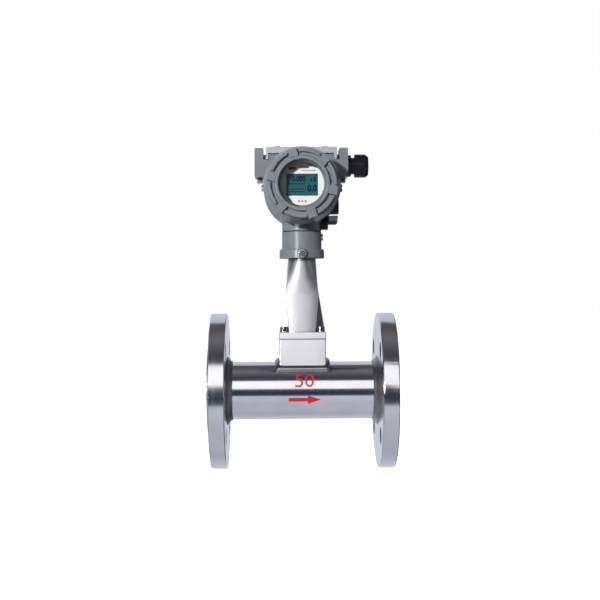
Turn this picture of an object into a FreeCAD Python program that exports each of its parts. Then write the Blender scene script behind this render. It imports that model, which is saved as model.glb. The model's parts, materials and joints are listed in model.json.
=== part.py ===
import FreeCAD, Part

import math
import os

# Vortex flow meter for a 50 mm line, with an insertion sensor on a stainless stem and a
# two-compartment cast head. Millimetres. The origin is the centre of the inlet face, on
# the line's axis: +X runs with the flow, +Z is up, and the display looks along -Y.

V = FreeCAD.Vector
X_AXIS = V(1, 0, 0)
Y_AXIS = V(0, 1, 0)
Z_AXIS = V(0, 0, 1)

# Line tube and its two slip-on flanges (DN 50, PN 16)
FACE_TO_FACE = 200.0
BORE_DIA = 50.0
TUBE_WALL = 5.75
FLANGE_DIA = 165.0
FLANGE_THICKNESS = 20.0
RAISED_FACE_DIA = 102.0
RAISED_FACE_HEIGHT = 3.0
BOLT_CIRCLE_DIA = 125.0
BOLT_HOLE_DIA = 18.0
BOLT_COUNT = 4
RIM_ROUNDING = 1.2
FLANGE_SLIP = 0.1
TUBE_SETBACK = 5.0
FLANGE_WELD_LEG = 6.5
BORE_WELD_LEG = 3.5
WELD_DIP_SHARE = 0.42

# Bluff body, a tapered column across the bore, ahead of the sensor
BLUFF_WIDTH = 14.0
BLUFF_TAIL_WIDTH = 4.5
BLUFF_LENGTH = 17.0
BLUFF_TO_SENSOR = 20.0

# Base block on the tube, and the bead that welds it on
STEM_X = 100.0
BLOCK_LENGTH = 49.5
BLOCK_DEPTH = 40.0
BLOCK_TOP_Z = 55.0
BLOCK_CORNER = 1.0
BLOCK_BEAD = 4.5

# Vortex sensor in the block
SENSOR_BODY_DIA = 25.4
SENSOR_BORE_PLAY = 0.3
SENSOR_FLANGE_DIA = 33.4
SENSOR_FLANGE_THICKNESS = 5.0
SENSOR_FLANGE_PLAY = 0.3
SENSOR_HUB_DIA = 14.0
SENSOR_HUB_HEIGHT = 9.0
PROBE_GASKET_THICKNESS = 1.0
PADDLE_LENGTH_X = 12.0
PADDLE_THICKNESS = 3.2
PADDLE_REACH = 38.0
PADDLE_ROUNDING = 0.8
SENSOR_PROUD = 0.5

# Plate under the stem, its gasket and its four screws
SEAT_GASKET_THICKNESS = 1.0
PLATE_LENGTH = 50.0
PLATE_DEPTH = 40.5
PLATE_THICKNESS = 6.5
SCREW_SPACING_X = 39.2
SCREW_SPACING_Y = 29.0
SCREW_DIA = 5.0
SCREW_LENGTH = 20.0
SCREW_HEAD_DIA = 8.5
SCREW_HEAD_HEIGHT = 5.0
SCREW_SOCKET_FLATS = 4.0
SCREW_SOCKET_DEPTH = 2.6
SCREW_HOLE_PLAY = 0.7
SCREW_TIP_CHAMFER = 0.4
SCREW_HEAD_ROUNDING = 0.5
THREAD_PLAY = 0.05
WASHER_THICKNESS = 1.2
WASHER_DIA = 9.0
WASHER_GAP = 1.0

# Stem: a cross-shaped foot, a four-sided waist and a round top
STEM_FOOT_LONG = 24.0
STEM_FOOT_FRONT = 19.0
STEM_FRONT_PANEL = 28.0
STEM_SIDE_PANEL = 19.0
STEM_NOTCH_X = 14.4
STEM_NOTCH_Y = 9.6
STEM_WAIST_X = 17.4
STEM_WAIST_Y = 15.4
STEM_FOOT_LAND = 1.0
STEM_WAIST_HEIGHT = 40.5
STEM_TOP_DIA = 29.5
STEM_HEIGHT = 78.4
STEM_BORE_DIA = 18.0
SPIGOT_DIA = 25.0
SPIGOT_HEIGHT = 27.0
SPIGOT_CHAMFER = 0.8
LEAD_DIA = 5.0
CONNECTOR_DIA = 12.0
CONNECTOR_LENGTH = 16.0

# Neck adapter that turns on the spigot
SWIVEL_PLAY = 0.05
SWIVEL_LIFT = 0.1
RING_DIA = 47.7
RING_HEIGHT = 10.0
RING_CHAMFER = 1.3
ADAPTER_DIA = 42.3
ADAPTER_HEIGHT = 18.0
ADAPTER_THREAD_DIA = 33.0
ADAPTER_THREAD_LENGTH = 11.0
ADAPTER_WIRE_BORE = 18.0
NECK_SEAL_THICKNESS = 0.8
NECK_SEAL_INSET = 0.5
LOCK_GROOVE_DEPTH = 1.6
LOCK_GROOVE_PLAY = 0.35
LOCK_SCREW_DIA = 5.0
LOCK_HEAD_DIA = 9.5
LOCK_HEAD_HEIGHT = 3.6
SCREW_DOME_SHARE = 0.45
STOP_SCREW_DIA = 4.0
STOP_HEAD_DIA = 7.0
STOP_HEAD_HEIGHT = 2.2
STOP_SEAT_DIA = 8.0
STOP_SEAT_DEPTH = 0.4
STOP_HEIGHT = 22.6
STOP_LAND_ANGLE = 8.0

# Cast head: a barrel with a threaded neck at each end, lying along Y
HEAD_Z = 216.3
BARREL_DIA = 76.0
BARREL_LENGTH = 58.6
COVER_THREAD_DIA = 70.0
COVER_THREAD_LENGTH = 14.0
CHAMBER_DIA = 62.0
CHAMBER_WALL = 6.0
HEAD_BOSS_DIA = 42.0
BOSS_FLARE_DIA = 52.0
BOSS_FLARE_HEIGHT = 12.0
BOSS_STRAIGHT = 8.0
WIRE_HOLE_DIA = 9.0
WIRE_HOLE_BACK = 9.5
FEEDTHROUGH_DIA = 10.0
CAST_ROUNDING = 2.0

# Ears with the two cable entries
EAR_SPAN = 100.0
EAR_DEPTH = 30.0
EAR_BACK = 10.0
EAR_TOP = 42.7
EAR_HEIGHT = 31.0
EAR_ROUNDING = 1.6
ENTRY_DIA = 18.4
ENTRY_HEIGHT = 24.6
SADDLE_TOP = 36.0
EAR_WALL = 9.3
TAB_SLOT_GAP = 2.7
TAB_BORE_WALL = 1.2
TAB_SLOT_FLOOR = 30.4
EAR_PAD_LENGTH = 6.0
EAR_PAD_HEIGHT = 4.4
EAR_PAD_INSET = 2.4
EAR_PAD_STEP = 2.0
LUG_REACH = 40.0
LUG_DEPTH = 12.0
LUG_BACK = 14.0
LUG_DROP = 28.5
LUG_HEIGHT = 9.4
LUG_TAPER = 1.5
LUG_TOP_ROUNDING = 0.8
LUG_LOW_ROUNDING = 2.0

# Plate over the saddle, held by two screws on cast pads
NAMEPLATE_DEPTH = 33.0
NAMEPLATE_SHEET = 1.5
NAMEPLATE_RISE = 1.0
NAMEPLATE_SKIRT = 6.7
NAMEPLATE_BEND = 1.2
NAMEPLATE_TAB = 13.0
NAMEPLATE_TAB_THICKNESS = 3.0
TAB_CLEARANCE = 0.4
BARREL_CLEARANCE = 0.4
NAMEPLATE_SCREW_SPACING = 52.0
PAD_DIA = 9.0
PLATE_SCREW_DIA = 4.0
PLATE_SCREW_HEAD = 7.5
PLATE_SCREW_HEAD_HEIGHT = 2.2
PLATE_SCREW_LENGTH = 10.0
PLATE_SCREW_ROOM = 0.5
PLATE_SCREW_ROUNDING = 0.9
PLATE_HOLE_PLAY = 0.4

# Plugs and small screws on the casting
CAP_DIA = 18.0
CAP_BOSS_DIA = 20.0
CAP_BACK = 5.0
CAP_DROP = 18.9
CAP_REACH = 39.8
CAP_SEAT = 27.5
CAP_THREAD = 6.0
CAP_TIP_ROOM = 0.5
CAP_ROUNDING = 0.9
CAP_SLOT_SHARE = 0.72
CAP_SLOT_WIDTH = 2.4
CAP_SLOT_DEPTH = 2.0
PORT_DIA = 14.0
PORT_HEIGHT = 8.7
PORT_REACH = 28.2
PORT_SEAT = 19.2
SIDE_BOSS_DIA = 9.0
SIDE_BOSS_PROUD = 1.6
SIDE_BOSS_REACH = BARREL_DIA / 2 + SIDE_BOSS_PROUD
EARTH_HEAD_DIA = 7.0
EARTH_HEAD_HEIGHT = 3.4
SIDE_PLUG_DIA = 8.4
SIDE_PLUG_HEIGHT = 4.0
SPOTFACE_PLAY = 0.6
SMALL_THREAD = 5.0
DRILL_ALLOWANCE = 1.5
SMALL_HEAD_ROUNDING = 0.8
SLOT_WIDTH = 1.2
SLOT_DEPTH = 1.0

# Screwed covers
COVER_DIA = 81.2
COVER_DEPTH = 30.4
COVER_SKIRT = 7.0
MOUTH_ROUNDING = 0.8
WAIST_ROUNDING = 3.0
WAIST_FLARE = 1.6
FLOOR_INSET = 1.0
SEAL_EDGE = 1.5
COVER_REAR_ROUNDING = 5.0
COVER_SHOULDER_DIA = 73.0
COVER_MOUTH_GAP = 0.3
COVER_THREAD_PLAY = 0.1
COVER_BORE_LENGTH = 14.5
FACE_BACK = 3.6
LIP_DIA = 56.6
LIP_DRAFT = 0.6
LIP_ROUNDING = 1.4
WINDOW_ROUNDING = 1.0
RIB_ROUNDING = 0.9
RIB_INNER_DIA = 64.6
RIB_OUTER_DIA = 71.0
LUG_INNER_DIA = 56.0
LUG_OUTER_DIA = 73.4
COVER_LUG_WIDTH = 9.2
COVER_LUG_COUNT = 6
COVER_LUG_TURN = -12.5
COVER_LUG_PROUD = 0.3
RIB_END_GAP = 1.3
WINDOW_DIA = 49.6
WINDOW_LIP_DEPTH = 5.0
REAR_FACE_THICKNESS = 6.5
SEAL_THICKNESS = 2.9
SEAL_PLAY = 0.08

# Window inside the display cover
GLASS_DIA = 58.0
GLASS_THICKNESS = 5.0
GLASS_EDGE = 0.5
GASKET_THICKNESS = 1.0
CLAMP_RING_THICKNESS = 3.0
CLAMP_RING_BORE = 52.0
CLAMP_RING_PLAY = 0.1

# Display and boards in the front chamber, terminals in the rear one
FACEPLATE_DIA = 60.0
FACEPLATE_THICKNESS = 1.2
FACEPLATE_BACK = 1.8
LCD_VIEW_WIDTH = 32.8
LCD_VIEW_HEIGHT = 22.7
LCD_MARGIN = 2.4
LCD_THICKNESS = 4.6
BOARD_DIA = 58.0
BOARD_THICKNESS = 1.6
POST_DIA = 5.0
POST_CIRCLE_DIA = 50.0
POST_COUNT = 4
MODULE_DIA = 58.0
MODULE_LENGTH = 18.0
TERMINAL_LENGTH = 38.0
TERMINAL_HEIGHT = 16.0
TERMINAL_STEP = 7.0
TERMINAL_DEPTH = 12.0
TERMINAL_COUNT = 4
TERMINAL_PITCH = 8.6
TERMINAL_SCREW_DIA = 5.6
TERMINAL_SCREW_HEIGHT = 2.0
TERMINAL_SCREW_PLAY = 0.3
TERMINAL_SCREW_SINK = 1.0
TERMINAL_SLOT_WIDTH = 0.8
TERMINAL_SLOT_DEPTH = 0.8

# Cable gland in the right entry, plug in the left one
GLAND_FLATS = 22.4
GLAND_CORNER_DIA = 24.8
GLAND_HEX_LENGTH = 3.4
GLAND_WAIST_DIA = 17.8
GLAND_NECK_LENGTH = 12.5
GLAND_BORE_DIA = 12.0
GLAND_THREAD_LENGTH = 9.0
NUT_START = 7.3
NUT_LENGTH = 14.8
NUT_DIA = 25.6
NUT_FLATS = 24.2
NUT_NOSE_DIA = 20.0
NUT_ROUNDING = 4.0
NUT_CABLE_DIA = 11.0
NUT_WALL_END = 2.4
CABLE_DIA = 8.0
CLAMP_SEAL_LENGTH = 8.5
CLAMP_SEAL_PROUD = 1.6
THRUST_RING_THICKNESS = 1.2
THRUST_RING_DIA = 15.0
THRUST_RING_BORE = 10.0
NUT_EDGE = 0.6
NUT_DOME_EDGE = 1.5
NUT_BORE_EDGE = 0.8
PLUG_LENGTH = 9.0
PLUG_SOCKET_FLATS = 10.0
PLUG_SOCKET_DEPTH = 6.0

# Derived places
TAB_SLOT_SPAN = EAR_SPAN - 2 * EAR_WALL
NAMEPLATE_SPAN = TAB_SLOT_SPAN - 2 * TAB_SLOT_GAP
SADDLE_SPAN = NAMEPLATE_SPAN - 2 * NAMEPLATE_TAB_THICKNESS
TAB_REACH = (EAR_DEPTH - ENTRY_DIA) / 2 - TAB_BORE_WALL
TUBE_RADIUS = BORE_DIA / 2 + TUBE_WALL
PROBE_HOLE_RADIUS = SENSOR_BODY_DIA / 2 + SENSOR_BORE_PLAY
SENSOR_SEAT_Z = BLOCK_TOP_Z - SENSOR_FLANGE_THICKNESS - PROBE_GASKET_THICKNESS
PLATE_BOTTOM_Z = BLOCK_TOP_Z + SEAT_GASKET_THICKNESS
PLATE_TOP_Z = PLATE_BOTTOM_Z + PLATE_THICKNESS
SCREW_SEAT_Z = PLATE_TOP_Z + WASHER_THICKNESS
SCREW_TIP_Z = SCREW_SEAT_Z - SCREW_LENGTH
WAIST_Z = PLATE_TOP_Z + STEM_WAIST_HEIGHT
STEM_TOP_Z = PLATE_TOP_Z + STEM_HEIGHT
SPIGOT_TOP_Z = STEM_TOP_Z + SPIGOT_HEIGHT
RING_BOTTOM_Z = STEM_TOP_Z + SWIVEL_LIFT
RING_TOP_Z = RING_BOTTOM_Z + RING_HEIGHT
ADAPTER_TOP_Z = RING_TOP_Z + ADAPTER_HEIGHT
LOCK_Z = RING_BOTTOM_Z + RING_HEIGHT / 2
STOP_Z = RING_BOTTOM_Z + STOP_HEIGHT
HEAD_BOTTOM_Z = ADAPTER_TOP_Z + NECK_SEAL_THICKNESS
HEAD_CENTRE = V(STEM_X, 0, HEAD_Z)
SCREW_PLACES = [
    (STEM_X + sx * SCREW_SPACING_X / 2, sy * SCREW_SPACING_Y / 2)
    for sx in (-1, 1)
    for sy in (-1, 1)
]
FRONT = V(0, -1, 0)
REAR = V(0, 1, 0)
BARREL_HALF = BARREL_LENGTH / 2
COVER_MOUTH = BARREL_HALF + COVER_MOUTH_GAP
COVER_FACE = COVER_MOUTH + COVER_DEPTH
NECK_END = BARREL_HALF + COVER_THREAD_LENGTH
THREAD_BORE_END = COVER_MOUTH + COVER_BORE_LENGTH
ENTRY_Z = HEAD_Z + ENTRY_HEIGHT
EAR_TOP_Z = HEAD_Z + EAR_TOP
EAR_BOTTOM_Z = EAR_TOP_Z - EAR_HEIGHT
SADDLE_TOP_Z = HEAD_Z + SADDLE_TOP
TAB_FLOOR_Z = HEAD_Z + TAB_SLOT_FLOOR
NAMEPLATE_TOP_Z = EAR_TOP_Z + NAMEPLATE_RISE
NAMEPLATE_SEAT_Z = NAMEPLATE_TOP_Z - NAMEPLATE_SHEET
EAR_FACE_X = STEM_X + EAR_SPAN / 2
LINE_CENTRE = V(0, 0, 0)


# Small helpers for solids

def rod(diameter, start, end):
    """Cylinder from one point to another."""
    run = end - start
    return Part.makeCylinder(diameter / 2, run.Length, start, run)


def block(x0, x1, y0, y1, z0, z1):
    """Box between two corners."""
    return Part.makeBox(x1 - x0, y1 - y0, z1 - z0, V(x0, y0, z0))


def rounded_face(corners):
    """Face through corners, each a point and the radius that rounds it."""
    ends = []
    edges = []
    for index, (corner, radius) in enumerate(corners):
        if radius == 0:
            ends.append((corner, corner))
            continue
        before = (corners[index - 1][0] - corner).normalize()
        after = (corners[(index + 1) % len(corners)][0] - corner).normalize()
        half = before.getAngle(after) / 2
        reach = radius / math.tan(half)
        middle = (before + after).normalize()
        centre = corner + middle * (radius / math.sin(half))
        start = corner + before * reach
        end = corner + after * reach
        edges.append(Part.Arc(start, centre - middle * radius, end).toShape())
        ends.append((start, end))
    for index, (start, _) in enumerate(ends):
        previous = ends[index - 1][1]
        if previous.distanceToPoint(start) > 1e-6:
            edges.append(Part.LineSegment(previous, start).toShape())
    return Part.Face(Part.Wire(Part.__sortEdges__(edges)))


def turned(profile, centre, axis):
    """Solid turned about an axis: each corner is (along, radius) or (along, radius, rounding)."""
    side = X_AXIS if abs(axis.z) > 0.5 else Z_AXIS
    corners = []
    for point in profile:
        place = centre + axis * point[0] + side * point[1]
        corners.append((place, point[2] if len(point) > 2 else 0))
    solid = rounded_face(corners).revolve(centre, axis, 360)
    return solid if solid.Volume > 0 else solid.reversed()


def ring(outer, inner, centre, axis, start, end):
    """Plain ring between two diameters."""
    profile = [(start, inner / 2), (start, outer / 2), (end, outer / 2), (end, inner / 2)]
    return turned(profile, centre, axis)


def plate(half_x, half_y, z0, z1, rounding):
    """Plate about the stem axis with rounded upright edges."""
    signs = [(-1, -1), (1, -1), (1, 1), (-1, 1)]
    corners = [(V(STEM_X + sx * half_x, sy * half_y, z0), rounding) for sx, sy in signs]
    return rounded_face(corners).extrude(V(0, 0, z1 - z0))


def hexagon(flats, start, direction, turn=0):
    """Hexagonal bar from a point, as long as its direction vector."""
    radius = flats / math.sqrt(3)
    side = Z_AXIS if abs(direction.z) < 0.5 * direction.Length else X_AXIS
    other = direction.cross(side).normalize()
    points = []
    for index in range(7):
        angle = math.radians(60 * index + turn)
        points.append(start + side * (radius * math.cos(angle)) + other * (radius * math.sin(angle)))
    return Part.Face(Part.makePolygon(points)).extrude(direction)


def planar_solid(faces):
    """Solid from lists of corner points, one list for each flat face."""
    flat = [Part.Face(Part.makePolygon(points + [points[0]])) for points in faces]
    solid = Part.Solid(Part.Shell(flat))
    return solid if solid.Volume > 0 else solid.reversed()


def one(shape):
    """The shape's only solid, with coplanar faces joined."""
    return shape.removeSplitter().Solids[0]


def group(solids):
    """Separate solids that share a node."""
    return Part.makeCompound(solids)


def slotted_screw(tip, seat, shank, head, head_height, rounding):
    """Round-headed screw with a straight slot, from its tip to its seat and head."""
    axis = (seat - tip).normalize()
    reach = (seat - tip).Length
    profile = [(0, 0), (0, shank / 2), (reach, shank / 2), (reach, head / 2)]
    profile += [(reach + head_height, head / 2, rounding), (reach + head_height, 0)]
    screw = turned(profile, tip, axis)
    side = axis.cross(Z_AXIS)
    side = side.normalize() if side.Length > 0.5 else V(X_AXIS)
    other = axis.cross(side)
    top = seat + axis * (head_height - SLOT_DEPTH)
    half = side * head
    width = other * (SLOT_WIDTH / 2)
    corners = [top - half - width, top + half - width, top + half + width, top - half + width]
    slot = Part.Face(Part.makePolygon(corners + [corners[0]])).extrude(axis * (2 * SLOT_DEPTH))
    return one(screw.cut(slot))


# Line

def line_tube():
    profile = [
        (TUBE_SETBACK, BORE_DIA / 2),
        (TUBE_SETBACK, TUBE_RADIUS),
        (FACE_TO_FACE - TUBE_SETBACK, TUBE_RADIUS),
        (FACE_TO_FACE - TUBE_SETBACK, BORE_DIA / 2),
    ]
    tube = turned(profile, LINE_CENTRE, X_AXIS)
    hole = rod(2 * PROBE_HOLE_RADIUS, V(STEM_X, 0, 0), V(STEM_X, 0, BLOCK_TOP_Z))
    return one(tube.cut(hole))


def flange(face_x, inward):
    """Slip-on flange with its raised face at face_x; inward points into the line."""
    bore = TUBE_RADIUS + FLANGE_SLIP
    step = RAISED_FACE_HEIGHT
    rim = FLANGE_DIA / 2
    profile = [
        (0, bore),
        (0, RAISED_FACE_DIA / 2, RIM_ROUNDING / 2),
        (step, RAISED_FACE_DIA / 2),
        (step, rim, RIM_ROUNDING),
        (FLANGE_THICKNESS, rim, RIM_ROUNDING),
        (FLANGE_THICKNESS, bore),
    ]
    centre = V(face_x, 0, 0)
    solid = turned(profile, centre, inward)
    for index in range(BOLT_COUNT):
        angle = math.radians(360 / BOLT_COUNT * (index + 0.5))
        offset = V(0, math.cos(angle), math.sin(angle)) * (BOLT_CIRCLE_DIA / 2)
        start = centre + offset
        solid = solid.cut(rod(BOLT_HOLE_DIA, start, start + inward * FLANGE_THICKNESS))
    return one(solid)


def flange_weld(face_x, inward):
    """Fillet weld round the tube, behind the flange."""
    leg = FLANGE_WELD_LEG
    start = FLANGE_THICKNESS
    dip = leg * WELD_DIP_SHARE
    profile = [
        (start, TUBE_RADIUS),
        (start, TUBE_RADIUS + leg),
        (start + dip, TUBE_RADIUS + dip),
        (start + leg, TUBE_RADIUS),
    ]
    return turned(profile, V(face_x, 0, 0), inward)


def bore_weld(face_x, inward):
    """Seal weld in the recess, between the tube's end and the flange's bore."""
    leg = BORE_WELD_LEG
    profile = [
        (TUBE_SETBACK, TUBE_RADIUS + FLANGE_SLIP),
        (TUBE_SETBACK, TUBE_RADIUS - leg),
        (TUBE_SETBACK - leg, TUBE_RADIUS + FLANGE_SLIP),
    ]
    return turned(profile, V(face_x, 0, 0), inward)


def bluff_body():
    """Tapered column that fills the bore's height."""
    front_x = STEM_X - BLUFF_TO_SENSOR - BLUFF_LENGTH / 2
    tail_x = front_x + BLUFF_LENGTH
    half = BORE_DIA / 2
    corners = [
        V(front_x, -BLUFF_WIDTH / 2, -half),
        V(tail_x, -BLUFF_TAIL_WIDTH / 2, -half),
        V(tail_x, BLUFF_TAIL_WIDTH / 2, -half),
        V(front_x, BLUFF_WIDTH / 2, -half),
    ]
    column = rounded_face([(corner, 0) for corner in corners]).extrude(V(0, 0, BORE_DIA))
    bore = rod(BORE_DIA, V(front_x, 0, 0), V(tail_x, 0, 0))
    return one(column.common(bore))


# Base block and sensor

def screw_holes(diameter, z0, z1):
    return [rod(diameter, V(x, y, z0), V(x, y, z1)) for x, y in SCREW_PLACES]


def base_block():
    solid = plate(BLOCK_LENGTH / 2, BLOCK_DEPTH / 2, 0, BLOCK_TOP_Z, BLOCK_CORNER)
    solid = solid.cut(rod(2 * TUBE_RADIUS, V(0, 0, 0), V(FACE_TO_FACE, 0, 0)))
    bore = rod(2 * PROBE_HOLE_RADIUS, V(STEM_X, 0, 0), V(STEM_X, 0, BLOCK_TOP_Z))
    seat_dia = SENSOR_FLANGE_DIA + 2 * SENSOR_FLANGE_PLAY
    seat = rod(seat_dia, V(STEM_X, 0, SENSOR_SEAT_Z), V(STEM_X, 0, BLOCK_TOP_Z))
    solid = solid.cut([bore, seat])
    solid = solid.cut(screw_holes(SCREW_DIA + 2 * THREAD_PLAY, SCREW_TIP_Z - 1, BLOCK_TOP_Z))
    return one(solid)


def block_weld():
    """Bead round the block's foot, along the line where it meets the tube."""
    half_x = BLOCK_LENGTH / 2
    half_y = BLOCK_DEPTH / 2
    foot_z = math.sqrt(TUBE_RADIUS ** 2 - half_y ** 2)
    angle = math.degrees(math.asin(half_y / TUBE_RADIUS))
    bead = []
    for sy in (-1, 1):
        start = V(STEM_X - half_x, sy * half_y, foot_z)
        bead.append(rod(2 * BLOCK_BEAD, start, start + V(BLOCK_LENGTH, 0, 0)))
    for sx in (-1, 1):
        centre = V(STEM_X + sx * half_x, 0, 0)
        start = V(centre.x, -half_y, foot_z)
        tangent = V(0, foot_z, half_y)
        circle = Part.Wire(Part.makeCircle(BLOCK_BEAD, start, tangent))
        bead.append(Part.Face(circle).revolve(centre, V(-1, 0, 0), 2 * angle))
        bead += [Part.makeSphere(BLOCK_BEAD, V(centre.x, sy * half_y, foot_z)) for sy in (-1, 1)]
    solid = bead[0].multiFuse(bead[1:])
    inside = plate(half_x, half_y, 0, BLOCK_TOP_Z, BLOCK_CORNER)
    tube = rod(2 * TUBE_RADIUS, V(0, 0, 0), V(FACE_TO_FACE, 0, 0))
    return one(solid.cut([inside, tube]))


def sensor_probe():
    """Round sensor body, its clamping flange, its lead hub and the paddle in the flow."""
    flange_z = SENSOR_SEAT_Z + PROBE_GASKET_THICKNESS
    floor_z = BORE_DIA / 2 - SENSOR_PROUD
    body = rod(SENSOR_BODY_DIA, V(STEM_X, 0, floor_z), V(STEM_X, 0, flange_z))
    disc = rod(SENSOR_FLANGE_DIA, V(STEM_X, 0, flange_z), V(STEM_X, 0, BLOCK_TOP_Z))
    hub_top = BLOCK_TOP_Z + SENSOR_HUB_HEIGHT
    hub = rod(SENSOR_HUB_DIA, V(STEM_X, 0, BLOCK_TOP_Z), V(STEM_X, 0, hub_top))
    half = PADDLE_LENGTH_X / 2
    thin = PADDLE_THICKNESS / 2
    signs = [(-1, -1), (1, -1), (1, 1), (-1, 1)]
    tip_z = floor_z - PADDLE_REACH
    corners = [(V(STEM_X + sx * half, sy * thin, tip_z), PADDLE_ROUNDING) for sx, sy in signs]
    paddle = rounded_face(corners).extrude(V(0, 0, PADDLE_REACH + SENSOR_PROUD))
    return one(body.multiFuse([disc, hub, paddle]))


def probe_gasket():
    outer = SENSOR_FLANGE_DIA
    inner = SENSOR_BODY_DIA + 2 * SENSOR_BORE_PLAY
    centre = V(STEM_X, 0, SENSOR_SEAT_Z)
    return ring(outer, inner, centre, Z_AXIS, 0, PROBE_GASKET_THICKNESS)


def drilled_plate(half_x, half_y, z0, z1):
    solid = plate(half_x, half_y, z0, z1, BLOCK_CORNER)
    solid = solid.cut(rod(STEM_BORE_DIA, V(STEM_X, 0, z0), V(STEM_X, 0, z1)))
    return one(solid.cut(screw_holes(SCREW_DIA + SCREW_HOLE_PLAY, z0, z1)))


def seat_gasket():
    return drilled_plate(BLOCK_LENGTH / 2, BLOCK_DEPTH / 2, BLOCK_TOP_Z, PLATE_BOTTOM_Z)


def stem_plate():
    return drilled_plate(PLATE_LENGTH / 2, PLATE_DEPTH / 2, PLATE_BOTTOM_Z, PLATE_TOP_Z)


def stem_screws():
    screws = []
    for x, y in SCREW_PLACES:
        tip = V(x, y, SCREW_TIP_Z)
        head = [
            (0, 0),
            (0, SCREW_DIA / 2 - SCREW_TIP_CHAMFER),
            (SCREW_TIP_CHAMFER, SCREW_DIA / 2),
            (SCREW_LENGTH, SCREW_DIA / 2),
            (SCREW_LENGTH, SCREW_HEAD_DIA / 2),
            (SCREW_LENGTH + SCREW_HEAD_HEIGHT, SCREW_HEAD_DIA / 2, SCREW_HEAD_ROUNDING),
            (SCREW_LENGTH + SCREW_HEAD_HEIGHT, 0),
        ]
        floor = V(x, y, SCREW_SEAT_Z + SCREW_HEAD_HEIGHT - SCREW_SOCKET_DEPTH)
        socket = hexagon(SCREW_SOCKET_FLATS, floor, V(0, 0, 2 * SCREW_SOCKET_DEPTH))
        screws.append(one(turned(head, tip, Z_AXIS).cut(socket)))
    return group(screws)


def stem_washers():
    """Split spring washers under the screw heads."""
    washers = []
    for x, y in SCREW_PLACES:
        inner = SCREW_DIA + 2 * THREAD_PLAY
        washer = ring(WASHER_DIA, inner, V(x, y, PLATE_TOP_Z), Z_AXIS, 0, WASHER_THICKNESS)
        outward = 1 if x > STEM_X else -1
        split = block(
            min(x, x + outward * WASHER_DIA),
            max(x, x + outward * WASHER_DIA),
            y - WASHER_GAP / 2,
            y + WASHER_GAP / 2,
            PLATE_TOP_Z,
            PLATE_TOP_Z + WASHER_THICKNESS,
        )
        washers.append(one(washer.cut(split)))
    return group(washers)


# Stem

def stem():
    foot_z = PLATE_TOP_Z + STEM_FOOT_LAND

    def foot(z):
        quarter = [
            (STEM_FRONT_PANEL / 2, STEM_FOOT_FRONT),
            (STEM_NOTCH_X, STEM_NOTCH_Y),
            (STEM_FOOT_LONG, STEM_SIDE_PANEL / 2),
        ]
        points = [V(STEM_X + x, -y, z) for x, y in quarter]
        points += [V(STEM_X + x, y, z) for x, y in reversed(quarter)]
        points += [V(STEM_X - x, y, z) for x, y in quarter]
        points += [V(STEM_X - x, -y, z) for x, y in reversed(quarter)]
        return points

    low = foot(foot_z)
    signs = [(1, -1), (1, 1), (-1, 1), (-1, -1)]
    waist = [V(STEM_X + sx * STEM_WAIST_X, sy * STEM_WAIST_Y, WAIST_Z) for sx, sy in signs]
    faces = [low, waist]
    for corner in range(4):
        top = waist[corner]
        first = 3 * corner
        faces.append([low[first], low[first + 1], top])
        faces.append([low[first + 1], low[first + 2], top])
        faces.append([low[first + 2], low[(first + 3) % 12], waist[(corner + 1) % 4], top])
    lower = planar_solid(faces)
    land = Part.Face(Part.makePolygon(foot(PLATE_TOP_Z) + foot(PLATE_TOP_Z)[:1]))
    land = land.extrude(V(0, 0, STEM_FOOT_LAND))

    radius = STEM_TOP_DIA / 2
    centre = V(STEM_X, 0, STEM_TOP_Z)
    shell = [Part.Face(Part.makePolygon(waist + waist[:1]))]
    arcs = []
    for corner in range(4):
        spots = []
        for step in (0, 0.5, 1):
            angle = math.radians(-45 + 90 * (corner + step))
            spots.append(centre + V(math.cos(angle), math.sin(angle), 0) * radius)
        arc = Part.Arc(*spots).toShape()
        arcs.append(arc)
        side = Part.LineSegment(waist[corner], waist[(corner + 1) % 4]).toShape()
        shell.append(Part.makeRuledSurface(side, arc))
    shell.append(Part.Face(Part.Wire(arcs)))
    shell = Part.makeShell(shell)
    shell.sewShape()
    upper = Part.Solid(shell)
    upper = upper if upper.Volume > 0 else upper.reversed()

    groove_dia = SPIGOT_DIA - 2 * LOCK_GROOVE_DEPTH
    spigot = turned(
        [
            (0, 0),
            (0, SPIGOT_DIA / 2),
            (SPIGOT_HEIGHT - SPIGOT_CHAMFER, SPIGOT_DIA / 2),
            (SPIGOT_HEIGHT, SPIGOT_DIA / 2 - SPIGOT_CHAMFER),
            (SPIGOT_HEIGHT, 0),
        ],
        centre,
        Z_AXIS,
    )
    grooves = []
    for height, dia in ((LOCK_Z, LOCK_SCREW_DIA), (STOP_Z, STOP_SCREW_DIA)):
        half = dia / 2 + LOCK_GROOVE_PLAY
        place = V(STEM_X, 0, height)
        grooves.append(ring(SPIGOT_DIA + 2, groove_dia, place, Z_AXIS, -half, half))
    half = math.tan(math.radians(STOP_LAND_ANGLE / 2)) * SPIGOT_DIA / 2
    land_x = STEM_X - SPIGOT_DIA
    stop_land = block(land_x, STEM_X, -half, half, STOP_Z - STOP_SCREW_DIA, STOP_Z + STOP_SCREW_DIA)
    grooves[1] = grooves[1].cut(stop_land)
    bore = rod(STEM_BORE_DIA, V(STEM_X, 0, PLATE_TOP_Z), V(STEM_X, 0, SPIGOT_TOP_Z))
    return one(land.multiFuse([lower, upper, spigot]).cut(grooves + [bore]))


def sensor_lead():
    start = V(STEM_X, 0, BLOCK_TOP_Z + SENSOR_HUB_HEIGHT)
    return rod(LEAD_DIA, start, V(STEM_X, 0, SPIGOT_TOP_Z - CONNECTOR_LENGTH))


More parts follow.
